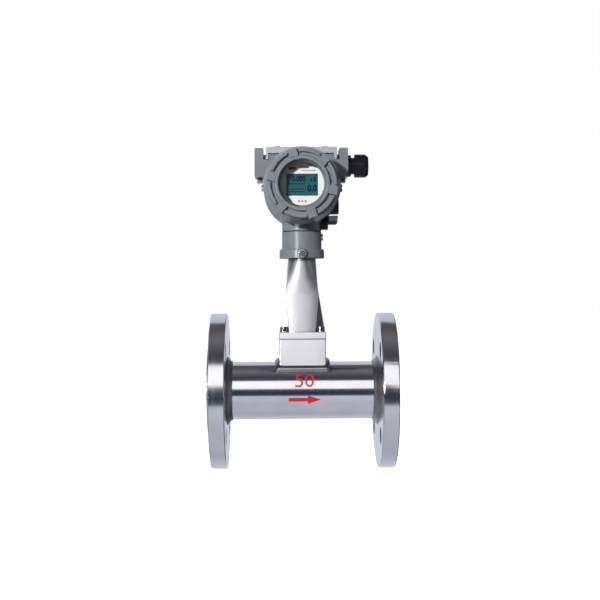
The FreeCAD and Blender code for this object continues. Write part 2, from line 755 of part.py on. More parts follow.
def lead_connector():
    """Round connector, held in the top of the stem by its collar."""
    start = V(STEM_X, 0, SPIGOT_TOP_Z - CONNECTOR_LENGTH)
    body = rod(CONNECTOR_DIA, start, V(STEM_X, 0, SPIGOT_TOP_Z))
    collar = rod(STEM_BORE_DIA, start, start + V(0, 0, CONNECTOR_LENGTH / 4))
    return one(body.fuse(collar))


# Neck adapter and its screws

def neck_adapter():
    bore = SPIGOT_DIA / 2 + SWIVEL_PLAY
    top = ADAPTER_TOP_Z - RING_BOTTOM_Z + ADAPTER_THREAD_LENGTH
    shoulder = ADAPTER_TOP_Z - RING_BOTTOM_Z
    spigot_end = SPIGOT_TOP_Z - RING_BOTTOM_Z + SWIVEL_LIFT
    profile = [
        (0, bore),
        (0, RING_DIA / 2, RING_CHAMFER / 2),
        (RING_HEIGHT - RING_CHAMFER, RING_DIA / 2),
        (RING_HEIGHT, RING_DIA / 2 - RING_CHAMFER),
        (RING_HEIGHT, ADAPTER_DIA / 2),
        (shoulder, ADAPTER_DIA / 2),
        (shoulder, ADAPTER_THREAD_DIA / 2),
        (top, ADAPTER_THREAD_DIA / 2),
        (top, ADAPTER_WIRE_BORE / 2),
        (spigot_end, ADAPTER_WIRE_BORE / 2),
        (spigot_end, bore),
    ]
    solid = turned(profile, V(STEM_X, 0, RING_BOTTOM_Z), Z_AXIS)
    lock = rod(LOCK_SCREW_DIA + 2 * THREAD_PLAY, V(STEM_X, 0, LOCK_Z), V(STEM_X, -RING_DIA, LOCK_Z))
    stop_end = V(STEM_X + RING_DIA, 0, STOP_Z)
    stop = rod(STOP_SCREW_DIA + 2 * THREAD_PLAY, V(STEM_X, 0, STOP_Z), stop_end)
    seat_x = STEM_X + ADAPTER_DIA / 2 - STOP_SEAT_DEPTH
    seat = rod(STOP_SEAT_DIA, V(seat_x, 0, STOP_Z), stop_end)
    return one(solid.cut([lock, stop, seat]))


def swivel_screw(direction, height, shank, head, head_height, seat):
    """Dog-point screw whose tip runs in a groove of the spigot."""
    tip = V(STEM_X, 0, height) + direction * (SPIGOT_DIA / 2 - LOCK_GROOVE_DEPTH + LOCK_GROOVE_PLAY)
    place = V(STEM_X, 0, height) + direction * seat
    return slotted_screw(tip, place, shank, head, head_height, head_height * SCREW_DOME_SHARE)


def lock_screw():
    return swivel_screw(FRONT, LOCK_Z, LOCK_SCREW_DIA, LOCK_HEAD_DIA, LOCK_HEAD_HEIGHT, RING_DIA / 2)


def stop_screw():
    seat = ADAPTER_DIA / 2 - STOP_SEAT_DEPTH
    return swivel_screw(X_AXIS, STOP_Z, STOP_SCREW_DIA, STOP_HEAD_DIA, STOP_HEAD_HEIGHT, seat)


def neck_seal():
    centre = V(STEM_X, 0, ADAPTER_TOP_Z)
    outer = ADAPTER_DIA - 2 * NECK_SEAL_INSET
    return ring(outer, ADAPTER_THREAD_DIA, centre, Z_AXIS, 0, NECK_SEAL_THICKNESS)


# Cast head

def across_entry(diameter, x0, x1):
    return rod(diameter, V(x0, EAR_BACK, ENTRY_Z), V(x1, EAR_BACK, ENTRY_Z))


def head_housing():
    r = BARREL_DIA / 2
    barrel = turned(
        [
            (-NECK_END, 0),
            (-NECK_END, COVER_THREAD_DIA / 2),
            (-BARREL_HALF, COVER_THREAD_DIA / 2),
            (-BARREL_HALF, r, CAST_ROUNDING),
            (BARREL_HALF, r, CAST_ROUNDING),
            (BARREL_HALF, COVER_THREAD_DIA / 2),
            (NECK_END, COVER_THREAD_DIA / 2),
            (NECK_END, 0),
        ],
        HEAD_CENTRE,
        Y_AXIS,
    )
    boss_r = HEAD_BOSS_DIA / 2
    boss = turned(
        [
            (0, 0),
            (0, boss_r, CAST_ROUNDING / 2),
            (BOSS_STRAIGHT, boss_r),
            (BOSS_STRAIGHT + BOSS_FLARE_HEIGHT, BOSS_FLARE_DIA / 2),
            (BOSS_STRAIGHT + BOSS_FLARE_HEIGHT + CAST_ROUNDING, 0),
        ],
        V(STEM_X, 0, HEAD_BOTTOM_Z),
        Z_AXIS,
    )
    y0 = EAR_BACK - EAR_DEPTH / 2
    y1 = EAR_BACK + EAR_DEPTH / 2
    half = EAR_SPAN / 2
    corners = [V(STEM_X + x, y0, z) for x in (-half, half) for z in (EAR_BOTTOM_Z, EAR_TOP_Z)]
    corners = [corners[0], corners[2], corners[3], corners[1]]
    ears = rounded_face([(corner, EAR_ROUNDING) for corner in corners]).extrude(V(0, EAR_DEPTH, 0))
    saddle = SADDLE_SPAN / 2
    slot = TAB_SLOT_SPAN / 2
    cuts = [
        block(STEM_X - slot, STEM_X + slot, y0 - 1, y1 + 1, SADDLE_TOP_Z, EAR_TOP_Z + 1),
    ]
    for low_y, high_y in ((y0 - 1, y0 + TAB_REACH), (y1 - TAB_REACH, y1 + 1)):
        for low_x, high_x in ((-slot, -saddle), (saddle, slot)):
            x0, x1 = STEM_X + low_x, STEM_X + high_x
            cuts.append(block(x0, x1, low_y, high_y, TAB_FLOOR_Z, EAR_TOP_Z + 1))
    ears = ears.cut(cuts)
    added = [boss, ears]
    for side in (-1, 1):
        pad_x = STEM_X + side * NAMEPLATE_SCREW_SPACING / 2
        start = V(pad_x, EAR_BACK, SADDLE_TOP_Z - 1)
        added.append(rod(PAD_DIA, start, V(pad_x, EAR_BACK, NAMEPLATE_SEAT_Z)))
        foot_x = STEM_X + side * (half - EAR_PAD_INSET - EAR_PAD_LENGTH / 2)
        low = EAR_BOTTOM_Z - EAR_PAD_HEIGHT
        pad = EAR_PAD_LENGTH / 2
        added.append(block(foot_x - pad, foot_x + pad, EAR_BACK, y1 - EAR_PAD_STEP, low, EAR_BOTTOM_Z + 1))
        start = V(STEM_X + side * (r - 4), 0, HEAD_Z)
        added.append(rod(SIDE_BOSS_DIA, start, V(STEM_X + side * SIDE_BOSS_REACH, 0, HEAD_Z)))
    cap_z = HEAD_Z - CAP_DROP
    cap_start = V(STEM_X + CAP_SEAT / 2, CAP_BACK, cap_z)
    added.append(rod(CAP_BOSS_DIA, cap_start, V(STEM_X + CAP_SEAT, CAP_BACK, cap_z)))
    port_z = HEAD_BOTTOM_Z + PORT_HEIGHT
    port_start = V(STEM_X + boss_r / 2, 0, port_z)
    added.append(rod(PORT_DIA, port_start, V(STEM_X + PORT_SEAT, 0, port_z)))
    lug_z = HEAD_Z - LUG_DROP
    low_z = lug_z - LUG_HEIGHT
    lug = [
        (V(STEM_X + LUG_HEIGHT, LUG_BACK, lug_z), 0),
        (V(STEM_X + LUG_REACH, LUG_BACK, lug_z), LUG_TOP_ROUNDING),
        (V(STEM_X + LUG_REACH - LUG_TAPER, LUG_BACK, low_z), LUG_LOW_ROUNDING),
        (V(STEM_X + LUG_HEIGHT, LUG_BACK, low_z), 0),
    ]
    added.append(rounded_face(lug).extrude(V(0, LUG_DEPTH, 0)))
    solid = barrel.multiFuse(added)
    wall = CHAMBER_WALL / 2
    hollows = [
        rod(CHAMBER_DIA, HEAD_CENTRE + FRONT * wall, HEAD_CENTRE + FRONT * NECK_END),
        rod(CHAMBER_DIA, HEAD_CENTRE + REAR * wall, HEAD_CENTRE + REAR * NECK_END),
        rod(FEEDTHROUGH_DIA, HEAD_CENTRE + FRONT * wall, HEAD_CENTRE + REAR * wall),
        across_entry(ENTRY_DIA, STEM_X - half, STEM_X - half / 4),
        across_entry(ENTRY_DIA, STEM_X + half / 4, STEM_X + half),
    ]
    thread_top = ADAPTER_TOP_Z + ADAPTER_THREAD_LENGTH + SWIVEL_LIFT
    start = V(STEM_X, 0, HEAD_BOTTOM_Z)
    hollows.append(rod(ADAPTER_THREAD_DIA + 2 * THREAD_PLAY, start, V(STEM_X, 0, thread_top)))
    wire = V(STEM_X, -WIRE_HOLE_BACK, thread_top - 1)
    hollows.append(rod(WIRE_HOLE_DIA, wire, V(STEM_X, -WIRE_HOLE_BACK, HEAD_Z - CHAMBER_DIA / 2 + 4)))
    for side in (-1, 1):
        pad_x = STEM_X + side * NAMEPLATE_SCREW_SPACING / 2
        deep = V(pad_x, EAR_BACK, NAMEPLATE_TOP_Z - PLATE_SCREW_LENGTH - PLATE_SCREW_ROOM)
        hole = PLATE_SCREW_DIA + 2 * THREAD_PLAY
        hollows.append(rod(hole, deep, V(pad_x, EAR_BACK, NAMEPLATE_TOP_Z)))
        end = V(STEM_X + side * SIDE_BOSS_REACH, 0, HEAD_Z)
        start = end - X_AXIS * side * (SMALL_THREAD + DRILL_ALLOWANCE)
        hollows.append(rod(SMALL_THREAD + 2 * THREAD_PLAY, start, end))
    start = V(STEM_X + CAP_SEAT - CAP_THREAD, CAP_BACK, cap_z)
    cap_seat = V(STEM_X + CAP_SEAT, CAP_BACK, cap_z)
    hollows.append(rod(CAP_DIA / 2 + 2 * THREAD_PLAY, start, cap_seat))
    hollows.append(rod(CAP_DIA + SPOTFACE_PLAY, cap_seat, cap_seat + X_AXIS * CAP_DIA))
    port_seat = V(STEM_X + PORT_SEAT, 0, port_z)
    hollows.append(rod(PORT_DIA + SPOTFACE_PLAY, port_seat, port_seat + X_AXIS * PORT_DIA))
    return one(solid.cut(hollows))


def side_cap(place, diameter, thread, seat, reach, rounding):
    """Black screw cap that points along +X from a boss on the casting."""
    profile = [
        (seat - thread, 0),
        (seat - thread, diameter / 4),
        (seat, diameter / 4),
        (seat, diameter / 2),
        (reach, diameter / 2, rounding),
        (reach, 0),
    ]
    cap = turned(profile, place, X_AXIS)
    coin = place + X_AXIS * (reach - CAP_SLOT_DEPTH)
    half = diameter * CAP_SLOT_SHARE / 2
    width = CAP_SLOT_WIDTH / 2
    end_x = coin.x + 2 * CAP_SLOT_DEPTH
    slot = block(coin.x, end_x, coin.y - half, coin.y + half, coin.z - width, coin.z + width)
    return one(cap.cut(slot))


def adjuster_cap():
    place = V(STEM_X, CAP_BACK, HEAD_Z - CAP_DROP)
    return side_cap(place, CAP_DIA, CAP_THREAD - CAP_TIP_ROOM, CAP_SEAT, CAP_REACH, CAP_ROUNDING)


def port_cap():
    """Cap glued over the blind boss at the neck."""
    place = V(STEM_X, 0, HEAD_BOTTOM_Z + PORT_HEIGHT)
    return one(side_cap(place, PORT_DIA, 0, PORT_SEAT, PORT_REACH, CAP_ROUNDING))


def earth_screw():
    seat = V(STEM_X - SIDE_BOSS_REACH, 0, HEAD_Z)
    tip = seat + X_AXIS * SMALL_THREAD
    return slotted_screw(tip, seat, SMALL_THREAD, EARTH_HEAD_DIA, EARTH_HEAD_HEIGHT, SMALL_HEAD_ROUNDING)


def side_plug():
    seat = V(STEM_X + SIDE_BOSS_REACH, 0, HEAD_Z)
    tip = seat - X_AXIS * SMALL_THREAD
    return slotted_screw(tip, seat, SMALL_THREAD, SIDE_PLUG_DIA, SIDE_PLUG_HEIGHT, SMALL_HEAD_ROUNDING)


def nameplate():
    """Folded sheet over the saddle: a top, a skirt at the front and back, a tab at each end."""
    half = NAMEPLATE_SPAN / 2
    y0 = EAR_BACK - NAMEPLATE_DEPTH / 2
    y1 = EAR_BACK + NAMEPLATE_DEPTH / 2
    sheet = NAMEPLATE_SHEET
    skirt_z = NAMEPLATE_TOP_Z - NAMEPLATE_SKIRT
    tab_z = NAMEPLATE_TOP_Z - NAMEPLATE_TAB
    inner_x = half - NAMEPLATE_TAB_THICKNESS
    top = block(STEM_X - half, STEM_X + half, y0, y1, NAMEPLATE_SEAT_Z, NAMEPLATE_TOP_Z)
    middle_z = NAMEPLATE_TOP_Z - sheet / 2
    top = top.makeFillet(NAMEPLATE_BEND, [edge for edge in top.Edges if edge.BoundBox.ZMin > middle_z])
    under = NAMEPLATE_SEAT_Z + (sheet - NAMEPLATE_BEND) / 2
    added = [
        block(STEM_X - half, STEM_X + half, y0, y0 + sheet, skirt_z, under),
        block(STEM_X - half, STEM_X + half, y1 - sheet, y1, skirt_z, under),
    ]
    overhang = (NAMEPLATE_DEPTH - EAR_DEPTH) / 2
    tab_depth = TAB_REACH + overhang - TAB_CLEARANCE
    for low_y, high_y in ((y0, y0 + tab_depth), (y1 - tab_depth, y1)):
        for low_x, high_x in ((-half, -inner_x), (inner_x, half)):
            added.append(block(STEM_X + low_x, STEM_X + high_x, low_y, high_y, tab_z, under))
    holes = []
    for side in (-1, 1):
        pad_x = STEM_X + side * NAMEPLATE_SCREW_SPACING / 2
        start = V(pad_x, EAR_BACK, NAMEPLATE_SEAT_Z)
        holes.append(rod(PLATE_SCREW_DIA + PLATE_HOLE_PLAY, start, V(pad_x, EAR_BACK, NAMEPLATE_TOP_Z)))
    barrel_dia = BARREL_DIA + 2 * BARREL_CLEARANCE
    holes.append(rod(barrel_dia, HEAD_CENTRE + FRONT * BARREL_HALF, HEAD_CENTRE + REAR * BARREL_HALF))
    return one(top.multiFuse(added).cut(holes))


def nameplate_screws():
    screws = []
    for side in (-1, 1):
        seat = V(STEM_X + side * NAMEPLATE_SCREW_SPACING / 2, EAR_BACK, NAMEPLATE_TOP_Z)
        tip = seat - Z_AXIS * PLATE_SCREW_LENGTH
        head = (PLATE_SCREW_HEAD, PLATE_SCREW_HEAD_HEIGHT, PLATE_SCREW_ROUNDING)
        screws.append(slotted_screw(tip, seat, PLATE_SCREW_DIA, *head))
    return group(screws)


# Covers

def lugged_cover(direction, window):
    """Screwed cover: a skirt over the barrel's thread and a face with a lip, ribs and lugs."""
    mouth = COVER_MOUTH
    face = COVER_FACE
    floor = face - FACE_BACK
    rim = COVER_DIA / 2
    thread = COVER_THREAD_DIA / 2 + COVER_THREAD_PLAY
    room = CHAMBER_DIA / 2
    seal = COVER_SHOULDER_DIA / 2 + SEAL_EDGE
    outside = [
        (mouth, seal),
        (mouth, rim, MOUTH_ROUNDING),
        (mouth + COVER_SKIRT, rim, WAIST_ROUNDING),
        (floor - WAIST_ROUNDING, RIB_OUTER_DIA / 2 + WAIST_FLARE, WAIST_ROUNDING),
        (floor, RIB_OUTER_DIA / 2 - FLOOR_INSET),
    ]
    if not window:
        outside = outside[:2] + [(floor, rim, COVER_REAR_ROUNDING)]
    groove_end = mouth + SEAL_THICKNESS + 2 * SEAL_PLAY
    lip = [
        (floor, LIP_DIA / 2 + LIP_DRAFT, LIP_DRAFT),
        (face, LIP_DIA / 2, LIP_ROUNDING),
    ]
    if window:
        front = [
            (face, WINDOW_DIA / 2, WINDOW_ROUNDING),
            (face - WINDOW_LIP_DEPTH, WINDOW_DIA / 2),
            (face - WINDOW_LIP_DEPTH, room),
        ]
    else:
        front = [
            (face, 0),
            (face - REAR_FACE_THICKNESS, 0),
            (face - REAR_FACE_THICKNESS, room),
        ]
    inside = [
        (THREAD_BORE_END, room),
        (THREAD_BORE_END, thread),
        (groove_end, thread),
        (groove_end, seal),
    ]
    body = turned(outside + lip + front + inside, HEAD_CENTRE, direction)
    width = COVER_LUG_WIDTH
    ribs = ring(RIB_OUTER_DIA, RIB_INNER_DIA, HEAD_CENTRE, direction, floor - 1, face)
    rims = [edge for edge in ribs.Edges if at_distance(edge, direction, face)]
    ribs = ribs.makeFillet(RIB_ROUNDING, rims)
    gaps = []
    lugs = []
    for index in range(COVER_LUG_COUNT):
        turn = COVER_LUG_TURN + 360 / COVER_LUG_COUNT * index
        half = width / 2 + RIB_END_GAP
        gaps.append(radial_bar(direction, turn, 0, RIB_OUTER_DIA, half, floor - 2, face + 1))
        low, high = LUG_INNER_DIA / 2, LUG_OUTER_DIA / 2
        lugs.append(radial_bar(direction, turn, low, high, width / 2, floor - 1, face + COVER_LUG_PROUD))
    return one(body.multiFuse([ribs.cut(gaps)] + lugs))


def at_distance(edge, direction, distance):
    """Whether an edge lies in the plane at this distance along the head's axis."""
    box = edge.BoundBox
    low = abs((V(box.XMin, box.YMin, box.ZMin) - HEAD_CENTRE).dot(direction) - distance)
    high = abs((V(box.XMax, box.YMax, box.ZMax) - HEAD_CENTRE).dot(direction) - distance)
    return low < 0.01 and high < 0.01


def radial_bar(direction, turn, inner, outer, half_width, start, end):
    """Bar that points outwards from the head's axis at an angle."""
    y0, y1 = sorted((direction.y * start, direction.y * end))
    x = HEAD_CENTRE.x
    bar = block(x + inner, x + outer, y0, y1, HEAD_Z - half_width, HEAD_Z + half_width)
    bar.rotate(HEAD_CENTRE, FRONT, turn)
    return bar


def cover_seal(direction):
    """Ring pressed between the barrel's shoulder and the cover's mouth."""
    inner = COVER_THREAD_DIA + 2 * SEAL_PLAY
    outer = COVER_SHOULDER_DIA + 2 * (SEAL_EDGE - SEAL_PLAY)
    start = COVER_MOUTH + SEAL_PLAY
    return ring(outer, inner, HEAD_CENTRE, direction, start, start + SEAL_THICKNESS)


def window_gasket():
    start = COVER_FACE - WINDOW_LIP_DEPTH - GASKET_THICKNESS
    return ring(GLASS_DIA, WINDOW_DIA, HEAD_CENTRE, FRONT, start, start + GASKET_THICKNESS)


def window_glass():
    end = COVER_FACE - WINDOW_LIP_DEPTH - GASKET_THICKNESS
    profile = [
        (end - GLASS_THICKNESS, 0),
        (end - GLASS_THICKNESS, GLASS_DIA / 2, GLASS_EDGE),
        (end, GLASS_DIA / 2, GLASS_EDGE),
        (end, 0),
    ]
    return turned(profile, HEAD_CENTRE, FRONT)


def window_clamp_ring():
    end = COVER_FACE - WINDOW_LIP_DEPTH - GASKET_THICKNESS - GLASS_THICKNESS
    outer = CHAMBER_DIA - 2 * CLAMP_RING_PLAY
    start = end - CLAMP_RING_THICKNESS
    return ring(outer, CLAMP_RING_BORE, HEAD_CENTRE, FRONT, start, end)


# Display, boards and terminals; depths run from the wall between the chambers

FACEPLATE_FRONT = NECK_END - FACEPLATE_BACK
LCD_FRONT = FACEPLATE_FRONT - FACEPLATE_THICKNESS
BOARD_FRONT = LCD_FRONT - LCD_THICKNESS
MODULE_FRONT = CHAMBER_WALL / 2 + MODULE_LENGTH


def centred_bar(width, height, start, end):
    half_x = width / 2
    half_z = height / 2
    return block(STEM_X - half_x, STEM_X + half_x, -end, -start, HEAD_Z - half_z, HEAD_Z + half_z)


def display_faceplate():
    disc = rod(FACEPLATE_DIA, HEAD_CENTRE + FRONT * LCD_FRONT, HEAD_CENTRE + FRONT * FACEPLATE_FRONT)
    view = centred_bar(LCD_VIEW_WIDTH, LCD_VIEW_HEIGHT, LCD_FRONT - 1, FACEPLATE_FRONT + 1)
    return one(disc.cut(view))


def lcd_panel():
    width = LCD_VIEW_WIDTH + 2 * LCD_MARGIN
    height = LCD_VIEW_HEIGHT + 2 * LCD_MARGIN
    return centred_bar(width, height, BOARD_FRONT, LCD_FRONT)


def round_board(diameter, start, end):
    return rod(diameter, HEAD_CENTRE + FRONT * start, HEAD_CENTRE + FRONT * end)


def display_board():
    return round_board(BOARD_DIA, BOARD_FRONT - BOARD_THICKNESS, BOARD_FRONT)


def posts(start, end):
    """Four round posts on the boards' post circle."""
    made = []
    for index in range(POST_COUNT):
        angle = math.radians(360 / POST_COUNT * (index + 0.5))
        offset = V(math.cos(angle), 0, math.sin(angle)) * (POST_CIRCLE_DIA / 2)
        base = HEAD_CENTRE + offset
        made.append(rod(POST_DIA, base + FRONT * start, base + FRONT * end))
    return group(made)


def display_posts():
    return posts(BOARD_FRONT, LCD_FRONT)


def board_standoffs():
    return posts(MODULE_FRONT, BOARD_FRONT - BOARD_THICKNESS)


def electronics_module():
    return round_board(MODULE_DIA, CHAMBER_WALL / 2, MODULE_FRONT)


def feedthrough():
    """Sealed bushing that carries the wires through the wall between the chambers."""
    half = CHAMBER_WALL / 2
    return rod(FEEDTHROUGH_DIA, HEAD_CENTRE + FRONT * half, HEAD_CENTRE + REAR * half)


def terminal_places():
    first = -(TERMINAL_COUNT - 1) / 2 * TERMINAL_PITCH
    return [STEM_X + first + TERMINAL_PITCH * index for index in range(TERMINAL_COUNT)]


def terminal_block():
    """Moulded block with a step for the wires and a pocket for each screw."""
    half_x = TERMINAL_LENGTH / 2
    half_z = TERMINAL_HEIGHT / 2
    wall = CHAMBER_WALL / 2
    deep = wall + TERMINAL_DEPTH
    x0, x1 = STEM_X - half_x, STEM_X + half_x
    body = block(x0, x1, wall, deep, HEAD_Z - half_z, HEAD_Z + half_z)
    step = block(x0, x1, wall, deep - TERMINAL_STEP, HEAD_Z - half_z - TERMINAL_STEP, HEAD_Z - half_z)
    body = body.fuse(step)
    pockets = []
    for x in terminal_places():
        floor = V(x, deep - TERMINAL_SCREW_HEIGHT - TERMINAL_SCREW_SINK, HEAD_Z)
        pockets.append(rod(TERMINAL_SCREW_DIA + 2 * TERMINAL_SCREW_PLAY, floor, V(x, deep, HEAD_Z)))
    return one(body.cut(pockets))


def terminal_screws():
    floor = CHAMBER_WALL / 2 + TERMINAL_DEPTH - TERMINAL_SCREW_HEIGHT - TERMINAL_SCREW_SINK
    screws = []
    for x in terminal_places():
        start = V(x, floor, HEAD_Z)
        head = rod(TERMINAL_SCREW_DIA, start, start + REAR * TERMINAL_SCREW_HEIGHT)
        top = floor + TERMINAL_SCREW_HEIGHT
        low = top - TERMINAL_SLOT_DEPTH
        half = TERMINAL_SCREW_DIA
        width = TERMINAL_SLOT_WIDTH / 2
        slot = block(x - half, x + half, low, top + 1, HEAD_Z - width, HEAD_Z + width)
        screws.append(one(head.cut(slot)))
    return group(screws)


# Cable gland and blanking plug

ENTRY_CENTRE = V(EAR_FACE_X, EAR_BACK, ENTRY_Z)
NECK_OUT = GLAND_HEX_LENGTH + GLAND_NECK_LENGTH
NUT_END = NUT_START + NUT_LENGTH
SEAL_SEAT = NECK_OUT - CLAMP_SEAL_LENGTH + CLAMP_SEAL_PROUD


def gland_body():
    thread = ENTRY_DIA / 2 - THREAD_PLAY
    profile = [
        (-GLAND_THREAD_LENGTH, GLAND_BORE_DIA / 2),
        (-GLAND_THREAD_LENGTH, thread),
        (0, thread),
        (GLAND_HEX_LENGTH, thread),
        (GLAND_HEX_LENGTH, GLAND_WAIST_DIA / 2),
        (NECK_OUT, GLAND_WAIST_DIA / 2, NUT_EDGE),
        (NECK_OUT, GLAND_BORE_DIA / 2),
    ]
    barrel = turned(profile, ENTRY_CENTRE, X_AXIS)
    nut = hexagon(GLAND_FLATS, ENTRY_CENTRE, X_AXIS * GLAND_HEX_LENGTH, 30)
    nut = nut.common(rod(GLAND_CORNER_DIA, ENTRY_CENTRE, ENTRY_CENTRE + X_AXIS * GLAND_HEX_LENGTH))
    nut = nut.cut(rod(GLAND_BORE_DIA, ENTRY_CENTRE, ENTRY_CENTRE + X_AXIS * GLAND_HEX_LENGTH))
    return one(barrel.fuse(nut))


def clamp_seal():
    """Rubber bush that grips the cable."""
    end = SEAL_SEAT + CLAMP_SEAL_LENGTH
    return ring(GLAND_BORE_DIA, CABLE_DIA, ENTRY_CENTRE, X_AXIS, SEAL_SEAT, end)


def thrust_ring():
    start = SEAL_SEAT + CLAMP_SEAL_LENGTH + SEAL_PLAY
    end = start + THRUST_RING_THICKNESS
    return ring(THRUST_RING_DIA, THRUST_RING_BORE, ENTRY_CENTRE, X_AXIS, start, end)


def dome_nut():
    bore = GLAND_WAIST_DIA / 2 + COVER_THREAD_PLAY
    seat = NUT_END - NUT_WALL_END
    profile = [
        (NUT_START, bore),
        (NUT_START, NUT_DIA / 2, NUT_EDGE),
        (NUT_END - NUT_ROUNDING, NUT_DIA / 2, NUT_DOME_EDGE),
        (NUT_END, NUT_NOSE_DIA / 2, NUT_DOME_EDGE),
        (NUT_END, NUT_CABLE_DIA / 2, NUT_BORE_EDGE),
        (seat, NUT_CABLE_DIA / 2),
        (seat, bore),
    ]
    nut = turned(profile, ENTRY_CENTRE, X_AXIS)
    start = ENTRY_CENTRE + X_AXIS * NUT_START
    return one(nut.common(hexagon(NUT_FLATS, start, X_AXIS * NUT_LENGTH, 30)))


def entry_plug():
    """Blanking plug, flush in the left entry, with a hexagon socket."""
    face = V(2 * STEM_X - EAR_FACE_X, EAR_BACK, ENTRY_Z)
    body = rod(ENTRY_DIA - 2 * THREAD_PLAY, face, face + X_AXIS * PLUG_LENGTH)
    socket = hexagon(PLUG_SOCKET_FLATS, face, X_AXIS * PLUG_SOCKET_DEPTH)
    return one(body.cut(socket))


INLET = (0.0, X_AXIS)
OUTLET = (FACE_TO_FACE, V(-1, 0, 0))

NODES = {
    "flow_tube": line_tube(),
    "inlet_flange": flange(*INLET),
    "outlet_flange": flange(*OUTLET),
    "inlet_flange_weld": flange_weld(*INLET),
    "outlet_flange_weld": flange_weld(*OUTLET),
    "inlet_bore_weld": bore_weld(*INLET),
    "outlet_bore_weld": bore_weld(*OUTLET),
    "bluff_body": bluff_body(),
    "base_block": base_block(),
    "base_block_weld": block_weld(),
    "vortex_sensor": sensor_probe(),
    "sensor_gasket": probe_gasket(),
    "seat_gasket": seat_gasket(),
    "stem_plate": stem_plate(),
    "stem_screws": stem_screws(),
    "stem_spring_washers": stem_washers(),
    "stem": stem(),
    "sensor_lead": sensor_lead(),
    "lead_connector": lead_connector(),
    "neck_adapter": neck_adapter(),
    "swivel_lock_screw": lock_screw(),
    "swivel_stop_screw": stop_screw(),
    "neck_seal": neck_seal(),
    "head_housing": head_housing(),
    "adjuster_cap": adjuster_cap(),
    "neck_port_cap": port_cap(),
    "earth_screw": earth_screw(),
    "side_plug": side_plug(),
    "nameplate": nameplate(),
    "nameplate_screws": nameplate_screws(),
    "display_cover": lugged_cover(FRONT, True),
    "display_cover_seal": cover_seal(FRONT),
    "window_gasket": window_gasket(),
    "window_glass": window_glass(),
    "window_clamp_ring": window_clamp_ring(),
    "display_faceplate": display_faceplate(),
    "lcd_panel": lcd_panel(),
    "display_board": display_board(),
    "display_posts": display_posts(),
    "board_standoffs": board_standoffs(),
    "electronics_module": electronics_module(),
    "wall_feedthrough": feedthrough(),
    "terminal_block": terminal_block(),
    "terminal_screws": terminal_screws(),
    "terminal_cover": lugged_cover(REAR, False),
    "terminal_cover_seal": cover_seal(REAR),
    "gland_body": gland_body(),
    "gland_clamp_seal": clamp_seal(),
    "gland_thrust_ring": thrust_ring(),
    "gland_dome_nut": dome_nut(),
    "entry_plug": entry_plug(),
}

os.makedirs("parts", exist_ok=True)
for name, shape in NODES.items():
    shape.exportStep(os.path.join("parts", name + ".step"))
    state = "valid" if shape.isValid() else "NOT VALID"
    print(name, state, len(shape.Solids), "solid", round(shape.Volume, 1), "mm3")
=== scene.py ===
"""Looks of a flanged vortex flow meter: steel line, cast grey head, display and cable gland."""

import json
import logging
import math
from dataclasses import dataclass, field
from enum import Enum

import bmesh
import bpy
from mathutils import Matrix, Quaternion, Vector

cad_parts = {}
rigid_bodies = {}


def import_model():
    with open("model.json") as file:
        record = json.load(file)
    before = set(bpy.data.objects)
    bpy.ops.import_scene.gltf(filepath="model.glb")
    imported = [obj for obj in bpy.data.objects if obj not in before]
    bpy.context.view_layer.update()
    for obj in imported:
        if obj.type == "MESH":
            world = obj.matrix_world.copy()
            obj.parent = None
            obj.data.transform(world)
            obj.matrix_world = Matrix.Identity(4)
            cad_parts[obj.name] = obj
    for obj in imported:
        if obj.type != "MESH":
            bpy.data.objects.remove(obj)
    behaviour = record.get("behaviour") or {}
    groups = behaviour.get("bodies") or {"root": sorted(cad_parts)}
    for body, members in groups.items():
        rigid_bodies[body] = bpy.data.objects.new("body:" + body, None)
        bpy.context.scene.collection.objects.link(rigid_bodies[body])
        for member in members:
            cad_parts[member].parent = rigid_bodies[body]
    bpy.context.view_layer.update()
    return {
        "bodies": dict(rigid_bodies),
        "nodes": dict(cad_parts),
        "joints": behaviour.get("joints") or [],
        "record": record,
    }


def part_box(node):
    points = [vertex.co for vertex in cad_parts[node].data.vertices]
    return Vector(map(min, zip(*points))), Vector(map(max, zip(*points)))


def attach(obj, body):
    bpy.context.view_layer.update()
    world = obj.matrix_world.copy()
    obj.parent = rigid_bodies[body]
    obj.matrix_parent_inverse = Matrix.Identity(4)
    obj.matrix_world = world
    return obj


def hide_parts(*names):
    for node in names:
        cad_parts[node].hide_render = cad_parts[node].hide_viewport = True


Node = bpy.types.Node
Tree = bpy.types.NodeTree
Piece = bpy.types.Object
Finish = bpy.types.Material
Triple = tuple[float, float, float]

LOG = logging.getLogger("flow_meter")
MM = 0.001
STEM_PLACE = 100 * MM
WHITE = (1.0, 1.0, 1.0)
EVEN = (1.0, 1.0, 1.0)

# The middle of a noise texture's range, where nearly all of its values lie.
RAMP_START = 0.3
RAMP_END = 0.7

MATH = "ShaderNodeMath"
VECTOR = "ShaderNodeVectorMath"

# Places of the colour mixer's sockets, because its names are used more than once.
MIX_FIRST = 6
MIX_SECOND = 7
MIX_RESULT = 2

